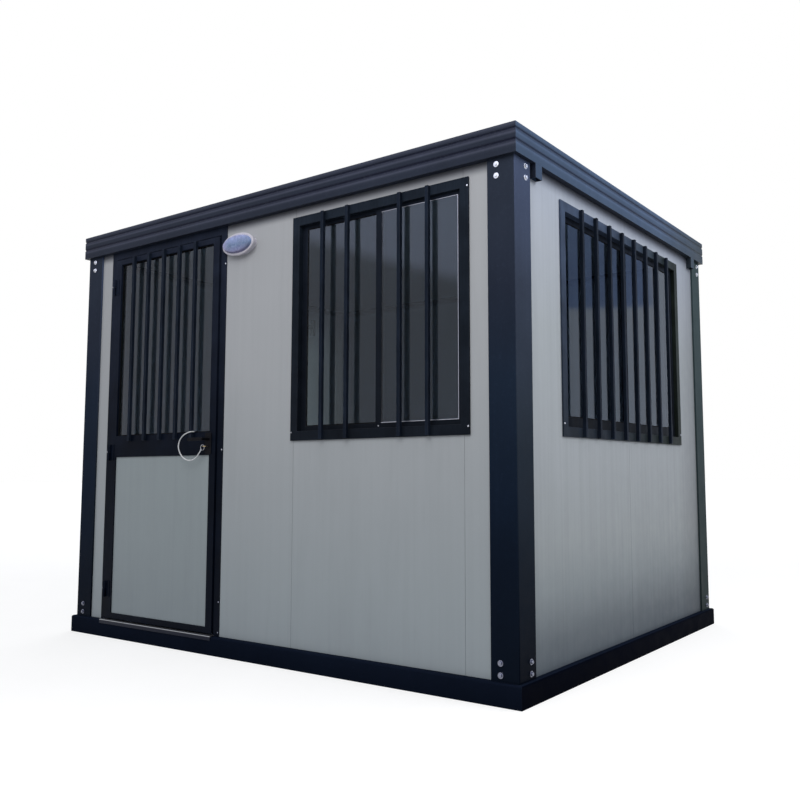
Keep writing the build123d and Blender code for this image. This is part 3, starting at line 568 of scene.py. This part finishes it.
JOIST_PRIMER = ((0.0, (0.010, 0.011, 0.013)), (0.10, (0.015, 0.016, 0.018)))

post_paint = frame_paint("post_paint", POST_FRONT, POST_SIDE)
back_post_paint = frame_paint("back_post_paint", POST_BACK)
# The fascia's rear tone is painted shade towards the back wall.
fascia_paint = frame_paint(
    "fascia_paint", FASCIA_FRONT, FASCIA_SIDE,
    specular=0.05, roughness=0.36, rear=(0.036, 0.048, 0.056),
)
rail_paint = frame_paint(
    "base_rail_paint", RAIL_FRONT, RAIL_SIDE,
    specular=0.004, roughness=0.5, edge=(0.03, 0.035, 0.05),
)
joist_primer = frame_paint("joist_primer", JOIST_PRIMER, roughness=0.6)
wall_skin = panel_skin("wall_skin", FRONT_SKIN)
side_wall_skin = panel_skin("side_wall_skin", SIDE_SKIN, corner_shade=0.62, streaky=0.90)
door_skin = panel_skin("door_panel_skin", DOOR_SKIN)
ceiling_skin = panel_skin("ceiling_skin", CEILING_SKIN)
roof_skin = panel_skin("roof_skin", ROOF_SKIN, relief=1.6)
# In the coatings below, head is painted lighter than foot as painted light; the side window's
# coating is a lighter, bluer copy of the front window's that paints the sky's reflection, and its
# rear tone is painted shade.
FRAME_ALUMINIUM = dark_aluminium(
    "window_frame_coating", (0.0075, 0.0100, 0.0150), (0.0125, 0.0180, 0.0275)
)
SIDE_FRAME_ALUMINIUM = dark_aluminium(
    "side_window_coating", (0.0130, 0.0170, 0.0230), (0.0520, 0.0740, 0.1250),
    rear=(0.0180, 0.0240, 0.0210),
)
SASH_ALUMINIUM = dark_aluminium("sash_coating", (0.0060, 0.0080, 0.0120), (0.0095, 0.0130, 0.0210))
BAR_PAINT = dark_aluminium("bar_paint", (0.0095, 0.0140, 0.0245), (0.0105, 0.0155, 0.0270), 0.4)
DOOR_PAINT = dark_aluminium(
    "door_leaf_coating", (0.0020, 0.0040, 0.0095), (0.0130, 0.0180, 0.0330), 0.38
)
# The threshold's lip is painted dark as shade below 0.0925 m and left of X = -0.286 m.
MILL_ALUMINIUM = bare_metal(
    "threshold_aluminium", (0.38, 0.39, 0.40), (0.24, 0.25, 0.26), 0.34, 240, (0.04, 1, 1),
    shaded_lip=(0.0925, -0.286),
)
BRIGHT_ALUMINIUM = bare_metal(
    "glazing_bead_aluminium", (0.46, 0.47, 0.51), (0.26, 0.27, 0.30), 0.34
)
# The bolts' foot tone is painted shade, darker towards the ground.
ZINC = bare_metal(
    "bolt_zinc", (0.78, 0.79, 0.82), (0.50, 0.51, 0.54), 0.28, foot=(0.20, 0.21, 0.26)
)
BRASS = bare_metal("key_brass", (0.62, 0.48, 0.24), (0.30, 0.24, 0.15), 0.32)
RING_STEEL = bare_metal("ring_steel", (0.62, 0.63, 0.65), (0.30, 0.31, 0.33), 0.22)
GLASS_TINT = (0.29, 0.36, 0.42)
FRONT_GLASS = window_glass("front_glass", GLASS_TINT, 1.5, (0.86, 0.91, 0.95), haze=0.025)
SIDE_GLASS = window_glass("side_glass", GLASS_TINT, 1.33, (0.70, 0.82, 1.0))
HANDLE_NYLON = moulded(
    "handle_nylon", (0.0050, 0.0052, 0.0072), (0.0085, 0.0088, 0.0110), 0.42, 0.045
)
SEAL_RUBBER = moulded("seal_rubber", (0.0035, 0.0040, 0.0050), (0.007, 0.007, 0.008), 0.55, 0.03)
STRAP_CORD = moulded("strap_cord", (0.80, 0.81, 0.83), (0.62, 0.63, 0.65), 0.75, 0.3, 900, 0.5)
LAMP_PLASTIC = moulded("lamp_base_plastic", (0.66, 0.64, 0.72), (0.54, 0.52, 0.58), 0.45)
LENS_PLASTIC = lens_plastic()
FLOOR_VINYL = moulded("floor_vinyl", (0.12, 0.12, 0.115), (0.085, 0.085, 0.08), 0.55)


# ---------------------------------------------------------------- shaping


FLAT_AREA = 0.0002  # square metres; larger faces stay flat, smaller ones are shaded round
MERGE_GAP = 0.01 * MM
CUT_GAP = 0.001 * MM
SAME_PLANE = 0.6  # degrees
EDGE_STEPS = 2


def finish_piece(shape, name, body, material, smooth_angle=24.0):
    """Turns a bmesh into a piece that rides on a body and takes its finish from a slot."""
    mesh = bpy.data.meshes.new(name)
    shape.to_mesh(mesh)
    shape.free()
    mesh.set_sharp_from_angle(angle=math.radians(smooth_angle))
    mesh.polygons.foreach_set("use_smooth", [face.area < FLAT_AREA for face in mesh.polygons])
    mesh.materials.append(material)
    piece = bpy.data.objects.new(name, mesh)
    bpy.context.scene.collection.objects.link(piece)
    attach(piece, body)
    return piece


def copy_of(node):
    """A CAD node's shape as one merged shell with whole flat faces."""
    shape = bmesh.new()
    shape.from_mesh(frame["nodes"][node].data)
    bmesh.ops.remove_doubles(shape, verts=shape.verts, dist=MERGE_GAP)
    bmesh.ops.dissolve_limit(
        shape, angle_limit=math.radians(SAME_PLANE), verts=shape.verts, edges=shape.edges
    )
    return shape


def ease_edges(shape, width, sharpest=32.0):
    """Rounds every sharp edge and marks the new faces as handled edges."""
    worn = shape.faces.layers.float.new("eased_edge")
    edges = [
        e for e in shape.edges
        if len(e.link_faces) == 2 and e.calc_face_angle(0.0) > math.radians(sharpest)
    ]
    rounded = bmesh.ops.bevel(
        shape,
        geom=edges,
        offset=width,
        offset_type="OFFSET",
        segments=EDGE_STEPS,
        profile=0.5,
        affect="EDGES",
        clamp_overlap=True,
        material=-1,
    )
    for face in rounded["faces"]:
        face[worn] = 1.0


def body_of(node):
    return frame["nodes"][node]["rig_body"]


GROOVE_HALF = 5 * MM
GROOVE_LIFT = 3.5 * MM


def press_out(shape):
    """Presses the fascia's grooves out again until they are shallow."""
    for vert in shape.verts:
        if any(abs(vert.co.z - groove) < GROOVE_HALF for groove in FASCIA_GROOVES):
            vert.co.x += math.copysign(GROOVE_LIFT, vert.co.x)
            vert.co.y += math.copysign(GROOVE_LIFT, vert.co.y)


def eased_copy(node, material, width, sharpest=32.0, reshape=None):
    """Stands for a CAD node with the same shape and softened edges."""
    shape = copy_of(node)
    if reshape:
        reshape(shape)
    ease_edges(shape, width, sharpest)
    piece = finish_piece(shape, node + "_finished", body_of(node), material)
    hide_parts(node)


def coat_node(node, material):
    """Gives a CAD node its finish as it stands."""
    slots = frame["nodes"][node].data.materials
    slots.clear()
    slots.append(material)


def solids_in(node, axis=0):
    """(low, high) of each separate solid of a node, in order along an axis."""
    shape = bmesh.new()
    shape.from_mesh(frame["nodes"][node].data)
    bmesh.ops.remove_doubles(shape, verts=shape.verts, dist=MERGE_GAP)
    left = set(shape.verts)
    found = []
    while left:
        group, reach = [], [left.pop()]
        while reach:
            vert = reach.pop()
            group.append(vert.co.copy())
            for edge in vert.link_edges:
                other = edge.other_vert(vert)
                if other in left:
                    left.discard(other)
                    reach.append(other)
        found.append(
            tuple(Vector(pick(p[i] for p in group) for i in range(3)) for pick in (min, max))
        )
    shape.free()
    return sorted(found, key=lambda solid: solid[0][axis])


QUARTER_TURN = Matrix.Rotation(math.radians(90), 4, "Z")
UPRIGHT_TURN = Matrix.Rotation(math.radians(90), 3, "X")


def border(shape, low, high, width, out, depth):
    """A rectangular border in the XZ plane at Y = out, width wide and depth deep along +Y."""
    made = bmesh.ops.create_grid(shape, x_segments=1, y_segments=1, size=0.5)
    verts = made["verts"]
    centre = ((low[0] + high[0]) / 2, out, (low[1] + high[1]) / 2)
    size = (high[0] - low[0], high[1] - low[1], 1.0)
    bmesh.ops.scale(shape, vec=size, verts=verts)
    bmesh.ops.rotate(shape, cent=(0, 0, 0), matrix=UPRIGHT_TURN, verts=verts)
    bmesh.ops.translate(shape, vec=centre, verts=verts)
    face = verts[0].link_faces[0]
    rim = bmesh.ops.inset_region(
        shape, faces=[face], thickness=width, use_boundary=True, use_even_offset=True
    )["faces"]
    bmesh.ops.delete(shape, geom=[face], context="FACES_ONLY")
    pushed = bmesh.ops.extrude_face_region(shape, geom=rim, use_keep_orig=True)
    moved = [g for g in pushed["geom"] if isinstance(g, bmesh.types.BMVert)]
    bmesh.ops.translate(shape, vec=(0, depth, 0), verts=moved)


SEAL_EASE = 0.8 * MM


def seal_round(name, panes, body, width, proud, turned=False):
    """Rubber seals round panes, proud of the glass on both sides.

    A pane is (low, high) in the wall's own X, Y, Z.
    """
    shape = bmesh.new()
    for low, high in panes:
        for out, depth in ((low.y - proud, proud), (high.y, proud)):
            border(shape, (low.x, low.z), (high.x, high.z), width, out, depth)
    bmesh.ops.recalc_face_normals(shape, faces=shape.faces)
    ease_edges(shape, SEAL_EASE)
    if turned:
        bmesh.ops.transform(shape, matrix=QUARTER_TURN, verts=shape.verts)
    finish_piece(shape, name, body, SEAL_RUBBER)


def turned_back(solid):
    """A side window solid's box in the wall's own axes, before the quarter turn."""
    low, high = solid
    return Vector((low.y, -high.x, low.z)), Vector((high.y, -low.x, high.z))


def disc(shape, centre, outward, radius, thickness, sides=28, crown=0.0, eased=0.0):
    """A round plate standing on centre, crowned if asked."""
    made = bmesh.ops.create_cone(
        shape, cap_ends=True, cap_tris=False, segments=sides,
        radius1=radius, radius2=radius * (1.0 - crown), depth=thickness,
    )
    verts = made["verts"]
    top = [v for v in verts if v.co.z > 0]
    if eased:
        edges = {e for v in top for e in v.link_edges if all(w in top for w in e.verts)}
        rounded = bmesh.ops.bevel(
            shape, geom=list(edges), offset=eased, offset_type="OFFSET", segments=3,
            profile=0.5, affect="EDGES", clamp_overlap=True, material=-1,
        )
        verts = list({v for v in verts if v.is_valid} | set(rounded["verts"]))
    turn = Z_AXIS.rotation_difference(outward).to_matrix()
    bmesh.ops.translate(shape, vec=(0, 0, thickness / 2), verts=verts)
    bmesh.ops.rotate(shape, cent=(0, 0, 0), matrix=turn, verts=verts)
    bmesh.ops.translate(shape, vec=centre, verts=verts)


WASHER_RADIUS = 12.5 * MM
WASHER_THICK = 2.0 * MM
HEAD_HEIGHT = 6.5 * MM
HEAD_SHARE = 0.66  # of the washer's radius
CAP_SHARE = 0.40


def bolt(shape, centre, outward):
    """A zinc hexagon bolt on a washer, its head chamfered."""
    disc(shape, centre, outward, WASHER_RADIUS, WASHER_THICK, 32, eased=0.6 * MM)
    seat = centre + outward * WASHER_THICK
    disc(shape, seat, outward, WASHER_RADIUS * HEAD_SHARE, HEAD_HEIGHT, 6, eased=1.2 * MM)
    top = centre + outward * (WASHER_THICK + HEAD_HEIGHT)
    disc(shape, top, outward, WASHER_RADIUS * CAP_SHARE, 0.5 * MM, 20)


SCREW_RADIUS = 4.2 * MM
SMALL_SCREW_RADIUS = 3.4 * MM
SCREW_HEIGHT = 1.7 * MM


def screw(shape, centre, outward, radius=SCREW_RADIUS):
    """A small pan head screw with a low raised disc in its centre."""
    disc(shape, centre, outward, radius, SCREW_HEIGHT, 20, crown=0.12, eased=0.6 * MM)
    top = centre + outward * SCREW_HEIGHT
    disc(shape, top, outward, radius * 0.35, 0.15 * MM, 8)


# ---------------------------------------------------------------- steel frame

for side in ("front", "right", "back", "left"):
    eased_copy("base_rail_" + side, rail_paint, 1.2 * MM)
    eased_copy("fascia_" + side, fascia_paint, 0.8 * MM, 20.0, press_out)
for corner in ("front_left", "front_right"):
    eased_copy("post_" + corner, post_paint, 0.8 * MM)
for corner in ("back_right", "back_left"):
    eased_copy("post_" + corner, back_post_paint, 0.8 * MM)
eased_copy("rain_spouts", fascia_paint, 0.6 * MM)

BOLT_ROWS = (72 * MM, 25 * MM)  # above the post's foot
BOLT_HEAD_ROWS = (27 * MM, 76 * MM)  # below its head
POST_FACES = {  # each bolted face's outward direction, and its bolts' distance from the corner
    "front_left": ((-Y_AXIS, 62 * MM), (-X_AXIS, 92 * MM)),
    "front_right": ((-Y_AXIS, 87 * MM), (X_AXIS, 92 * MM)),
    "back_right": ((X_AXIS, 45 * MM), (Y_AXIS, 87 * MM)),
    "back_left": ((-X_AXIS, 45 * MM), (Y_AXIS, 62 * MM)),
}
for corner, faces in POST_FACES.items():
    low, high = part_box("post_" + corner)
    left, front = "left" in corner, "front" in corner
    outer = Vector((low.x if left else high.x, low.y if front else high.y, 0.0))
    inward = Vector((1 if left else -1, 1 if front else -1, 0))
    fixings = bmesh.new()
    for outward, inset in faces:
        along = Vector((0, inward.y, 0)) if outward.x else Vector((inward.x, 0, 0))
        heights = [low.z + row for row in BOLT_ROWS] + [high.z - row for row in BOLT_HEAD_ROWS]
        for z in heights:
            bolt(fixings, outer + along * inset + Z_AXIS * z, outward)
    finish_piece(fixings, "bolts_" + corner, "cabin", ZINC)


# ---------------------------------------------------------------- walls, floor, roof

for wall in (
    "front_wall_left", "front_wall_middle", "front_wall_window", "front_wall_right",
    "back_wall_left", "back_wall_middle", "back_wall_right", "left_wall_back", "left_wall_front",
):
    eased_copy(wall, wall_skin, 1.4 * MM)
for wall in ("right_wall_front", "right_wall_back"):
    eased_copy(wall, side_wall_skin, 1.4 * MM)
for node, slot, material in (
    ("ceiling_panel", "ceiling", ceiling_skin),
    ("floor_panel", "floor", FLOOR_VINYL),
    ("floor_joists", "joist", joist_primer),
):
    eased_copy(node, material, 1.0 * MM)
eased_copy("roof_panel", roof_skin, 2.0 * MM)


# ---------------------------------------------------------------- windows

for window, coating, pane_glass in (
    ("front_window", FRAME_ALUMINIUM, FRONT_GLASS),
    ("side_window", SIDE_FRAME_ALUMINIUM, SIDE_GLASS),
):
    eased_copy(window + "_frame", coating, 1.0 * MM)
    eased_copy(window + "_sashes", SASH_ALUMINIUM, 0.9 * MM)
    eased_copy(window + "_bars", BAR_PAINT, 1.5 * MM)
    coat_node(window + "_glass", pane_glass)
eased_copy("front_window_latch", HANDLE_NYLON, 0.4 * MM)

SEAL_WIDTH = 5 * MM
SEAL_PROUD = 2.1 * MM
left_pane, right_pane = solids_in("front_window_glass")
seal_round("front_window_seals", [left_pane], "cabin", SEAL_WIDTH, SEAL_PROUD)
side_panes = [turned_back(solid) for solid in solids_in("side_window_glass", 1)]
seal_round("side_window_seals", side_panes, "cabin", SEAL_WIDTH, SEAL_PROUD, turned=True)
BEAD_WIDTH = 2.8 * MM
BEAD_PROUD = 2.3 * MM


def bright_bead(pane):
    """A thin silver bead along the foot, the outer edge and the head of the right pane."""
    low, high = pane
    shape = bmesh.new()
    start = (low.x - 2 * BEAD_WIDTH, low.z)
    border(shape, start, (high.x, high.z), BEAD_WIDTH, low.y - BEAD_PROUD, BEAD_PROUD)
    cut = bmesh.ops.bisect_plane(
        shape, geom=shape.verts[:] + shape.edges[:] + shape.faces[:], dist=CUT_GAP,
        plane_co=(low.x, 0, 0), plane_no=(-1, 0, 0), clear_outer=True,
    )
    ends = [g for g in cut["geom_cut"] if isinstance(g, bmesh.types.BMEdge)]
    bmesh.ops.edgeloop_fill(shape, edges=ends)
    bmesh.ops.recalc_face_normals(shape, faces=shape.faces)
    ease_edges(shape, 0.6 * MM)
    finish_piece(shape, "front_window_bead", "cabin", BRIGHT_ALUMINIUM)


bright_bead(right_pane)


# ---------------------------------------------------------------- door

for node in ("door_jamb_left", "door_jamb_right", "door_head"):
    eased_copy(node, DOOR_PAINT, 1.0 * MM)
eased_copy("door_threshold", MILL_ALUMINIUM, 0.6 * MM)
eased_copy("door_leaf", DOOR_PAINT, 1.2 * MM)
eased_copy("door_panel", door_skin, 1.2 * MM)
eased_copy("door_bars", BAR_PAINT, 1.5 * MM)
eased_copy("hinge_jamb_halves", DOOR_PAINT, 0.4 * MM)
eased_copy("hinge_leaf_halves", DOOR_PAINT, 0.4 * MM)
eased_copy("door_lock", HANDLE_NYLON, 0.5 * MM)
eased_copy("door_handle", HANDLE_NYLON, 0.4 * MM)
eased_copy("door_key", BRASS, 0.2 * MM)
coat_node("door_glass", FRONT_GLASS)
DOOR_SEAL_WIDTH = 6 * MM
DOOR_SEAL_PROUD = 5 * MM
door_panes = solids_in("door_glass")
seal_round("door_glass_seals", door_panes, "door", DOOR_SEAL_WIDTH, DOOR_SEAL_PROUD)
coat_node("key_ring", RING_STEEL)


# ---------------------------------------------------------------- lamp

coat_node("lamp_base", LAMP_PLASTIC)

RIB_PITCH = 5.4 * MM
RIB_DEPTH = 0.9 * MM
LENS_RIM = 3 * MM  # left smooth next to the base
LENS_SMOOTH = 16.0  # degrees


def ribbed_lens():
    """The lens with prismatic ribs standing upright across it."""
    low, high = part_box("lamp_lens")
    shape = copy_of("lamp_lens")
    count = int((high.x - low.x) / RIB_PITCH)
    start = (low.x + high.x) / 2 - count * RIB_PITCH / 2
    valleys = set()
    for step in range(2 * count + 1):
        x = start + step * RIB_PITCH / 2
        cut = bmesh.ops.bisect_plane(
            shape, geom=shape.verts[:] + shape.edges[:] + shape.faces[:],
            dist=CUT_GAP, plane_co=(x, 0, 0), plane_no=(1, 0, 0),
        )
        if step % 2:
            valleys |= {g for g in cut["geom_cut"] if isinstance(g, bmesh.types.BMVert)}
    shape.normal_update()
    rim = high.y - LENS_RIM
    for vert in valleys:
        if vert.is_valid and vert.co.y < rim:
            vert.co -= vert.normal * RIB_DEPTH
    piece = finish_piece(
        shape, "lamp_lens_ribbed", "cabin", LENS_PLASTIC, LENS_SMOOTH
    )
    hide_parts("lamp_lens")


ribbed_lens()


# ---------------------------------------------------------------- small fixings

SIDE_SCREW_INSET = 10 * MM
SIDE_SCREW_RISE = 59 * MM
JAMB_SCREW_INSET = 8 * MM
RIGHT_JAMB_SCREWS = (2.018, 1.038, 0.264, 0.112)  # heights
LEFT_JAMB_SCREWS = (2.018, 1.043, 0.265)

small = bmesh.new()
low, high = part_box("front_window_frame")
for x, z, radius in (
    (high.x - 6.5 * MM, high.z - 39 * MM, SCREW_RADIUS),
    (high.x - 6.5 * MM, low.z + 36 * MM, SCREW_RADIUS),
    (low.x + 7 * MM, low.z + 40 * MM, SMALL_SCREW_RADIUS),
):
    screw(small, Vector((x, low.y, z)), -Y_AXIS, radius)
sash_low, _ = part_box("front_window_sashes")
meeting = Vector(((low.x + high.x) / 2 + 18 * MM, sash_low.y, sash_low.z + 10 * MM))
screw(small, meeting, -Y_AXIS, SMALL_SCREW_RADIUS)
finish_piece(small, "front_window_screws", "cabin", ZINC)
small = bmesh.new()
low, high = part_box("side_window_frame")
for y in (low.y + SIDE_SCREW_INSET, high.y - SIDE_SCREW_INSET):
    screw(small, Vector((high.x, y, low.z + SIDE_SCREW_RISE)), X_AXIS)
finish_piece(small, "side_window_screws", "cabin", ZINC)
small = bmesh.new()
low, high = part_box("door_jamb_right")
for z in RIGHT_JAMB_SCREWS:
    screw(small, Vector((high.x - JAMB_SCREW_INSET, low.y, z)), -Y_AXIS)
low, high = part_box("door_jamb_left")
for z in LEFT_JAMB_SCREWS:
    screw(small, Vector((low.x + JAMB_SCREW_INSET, low.y, z)), -Y_AXIS)
finish_piece(small, "door_frame_screws", "cabin", ZINC)

key_strap.data.materials.append(STRAP_CORD)


# ---------------------------------------------------------------- studio


FLOOR_SIZE = 90.0
FLOOR_GLOW = (0.66, 0.86)  # near the booth, and far off where the lamps no longer reach
GLOW_REACH = (4.0, 14.0)  # metres from the middle between which the glow changes


def lay_floor():
    """A wide pale floor that shows white and keeps the booth's shadow."""
    shape = bmesh.new()
    bmesh.ops.create_grid(shape, x_segments=2, y_segments=2, size=FLOOR_SIZE)
    mesh = bpy.data.meshes.new("studio_floor")
    shape.to_mesh(mesh)
    shape.free()
    floor = bpy.data.objects.new("studio_floor", mesh)
    bpy.context.scene.collection.objects.link(floor)
    pale = Finish("studio_floor", roughness=0.9, specular=0.1)
    mottled = pale.span(pale.noise(3.0, 3, 0.5), 0.3, 0.7)
    pale.colour(pale.blend(mottled, (0.40, 0.40, 0.405), (0.42, 0.42, 0.425)))
    path = pale.add("ShaderNodeLightPath")
    mirrored = pale.sum(
        "MAXIMUM", path.outputs["Is Glossy Ray"], path.outputs["Is Transmission Ray"]
    )
    seen = pale.sum("MAXIMUM", path.outputs["Is Camera Ray"], mirrored)
    pale.shader.inputs["Emission Color"].default_value = (1, 1, 1, 1)
    away = pale.add("ShaderNodeVectorMath")
    away.operation = "LENGTH"
    pale.join(pale.place, away.inputs[0])
    glow = pale.span(away.outputs["Value"], *GLOW_REACH, *FLOOR_GLOW)
    pale.join(pale.sum("MULTIPLY", seen, glow), pale.shader.inputs["Emission Strength"])
    mesh.materials.append(pale.material)


SOFT_LIGHT = (0.94, 0.97, 1.0)
SOFT_STRENGTH = 0.55
# What mirror rays and rays through glass see. Each pair is where one tone turns into the
# next, read off the X, Y or Z part of the ray's direction.
BACKDROP_TOP = (0.187, 0.192)  # Z above which the pale backdrop behind the booth ends
BACKDROP_END = (0.345, 0.362)  # X left of which it doesn't end but goes on up
BACKDROP_LOW = (0.76, 0.82, 0.94)
BACKDROP_SKY = (0.32, 0.43, 0.72)
SKYLINE = (0.045, 0.062)  # where the sky starts in front of the booth, higher to the left
SKYLINE_WAY = (0.317, 0.0, 1.0)
FRONT_LOW = (0.56, 0.55, 0.60)
FRONT_SKY = (1.20, 1.25, 1.55)
PALE_PATCH = (1.25, 1.40, 1.42)
PATCH_RIGHT = (-0.70, -0.655)  # the pale patch's ends in X and its top in Z
PATCH_LEFT = (-0.745, -0.725)
PATCH_TOP = (0.14, 0.19)
FRONT_TO_REAR = (-0.2, 0.2)  # Y over which the front's tones turn into the rear's
LAMP_COLOUR = (1.0, 0.99, 0.975)
LAMPS = (  # name, place, what it points at, width, watts
    ("key_lamp", (1.6, -4.2, 4.6), (0.2, -1.1, 1.4), 3.2, 110.0),
    ("side_lamp", (5.0, 0.6, 4.2), (1.5, 0.1, 1.3), 3.0, 120.0),
    ("back_lamp", (-3.5, 4.5, 4.8), (-0.5, 0.5, 1.2), 3.5, 90.0),
)


def graded(tree, value, spread, low, high):
    """A colour that goes from low to high while value crosses spread."""
    step = tree.nodes.new("ShaderNodeMapRange")
    step.inputs["From Min"].default_value, step.inputs["From Max"].default_value = spread
    tree.links.new(value, step.inputs["Value"])
    mix = tree.nodes.new("ShaderNodeMix")
    mix.data_type = "RGBA"
    tree.links.new(step.outputs[0], mix.inputs["Factor"])
    for colour, socket in ((low, mix.inputs[6]), (high, mix.inputs[7])):
        if isinstance(colour, tuple):
            socket.default_value = (*colour, 1.0)
        else:
            tree.links.new(colour, socket)
    return mix.outputs[2]


def light_studio():
    """Even light all round, large soft lamps high in front, on the right and behind.

    The camera sees a white world, and mirror rays and rays through glass a graded one.
    """
    world = bpy.data.worlds.new("studio")
    bpy.context.scene.world = world
    world.use_nodes = True
    tree = world.node_tree
    tree.nodes.clear()
    output = tree.nodes.new("ShaderNodeOutputWorld")
    path = tree.nodes.new("ShaderNodeLightPath")
    soft = tree.nodes.new("ShaderNodeBackground")
    soft.inputs["Color"].default_value = (*SOFT_LIGHT, 1.0)
    soft.inputs["Strength"].default_value = SOFT_STRENGTH
    shown = tree.nodes.new("ShaderNodeBackground")
    seen = tree.nodes.new("ShaderNodeMath")
    seen.operation = "MAXIMUM"
    tree.links.new(path.outputs["Is Camera Ray"], seen.inputs[0])
    mirror = tree.nodes.new("ShaderNodeMath")
    mirror.operation = "MAXIMUM"
    tree.links.new(path.outputs["Is Glossy Ray"], mirror.inputs[0])
    tree.links.new(path.outputs["Is Transmission Ray"], mirror.inputs[1])
    tree.links.new(mirror.outputs[0], seen.inputs[1])
    way = tree.nodes.new("ShaderNodeSeparateXYZ")
    direction = tree.nodes.new("ShaderNodeTexCoord").outputs["Generated"]
    tree.links.new(direction, way.inputs[0])
    across, along, up = way.outputs
    skyline = tree.nodes.new("ShaderNodeVectorMath")
    skyline.operation = "DOT_PRODUCT"
    tree.links.new(direction, skyline.inputs[0])
    skyline.inputs[1].default_value = SKYLINE_WAY
    pale = graded(tree, across, PATCH_RIGHT, PALE_PATCH, FRONT_LOW)
    pale = graded(tree, across, PATCH_LEFT, FRONT_LOW, pale)
    pale = graded(tree, up, PATCH_TOP, pale, FRONT_LOW)
    front = graded(tree, skyline.outputs["Value"], SKYLINE, pale, FRONT_SKY)
    sky = graded(tree, across, BACKDROP_END, BACKDROP_LOW, BACKDROP_SKY)
    rear = graded(tree, up, BACKDROP_TOP, BACKDROP_LOW, sky)
    mirrored = graded(tree, along, FRONT_TO_REAR, front, rear)
    plain = graded(tree, path.outputs["Is Camera Ray"], (0.0, 1.0), mirrored, (1.0, 1.0, 1.0))
    tree.links.new(plain, shown.inputs["Color"])
    mix = tree.nodes.new("ShaderNodeMixShader")
    tree.links.new(seen.outputs[0], mix.inputs[0])
    tree.links.new(soft.outputs[0], mix.inputs[1])
    tree.links.new(shown.outputs[0], mix.inputs[2])
    tree.links.new(mix.outputs[0], output.inputs["Surface"])
    for name, place, target, size, watts in LAMPS:
        lamp = bpy.data.lights.new(name, "AREA")
        lamp.shape = "SQUARE"
        lamp.size = size
        lamp.energy = watts
        lamp.color = LAMP_COLOUR
        carrier = bpy.data.objects.new(name, lamp)
        aim = Vector(target) - Vector(place)
        turn = aim.to_track_quat("-Z", "Y").to_matrix().to_4x4()
        carrier.matrix_world = Matrix.Translation(place) @ turn
        bpy.context.scene.collection.objects.link(carrier)


lay_floor()
light_studio()
bpy.context.scene.view_settings.view_transform = "Standard"
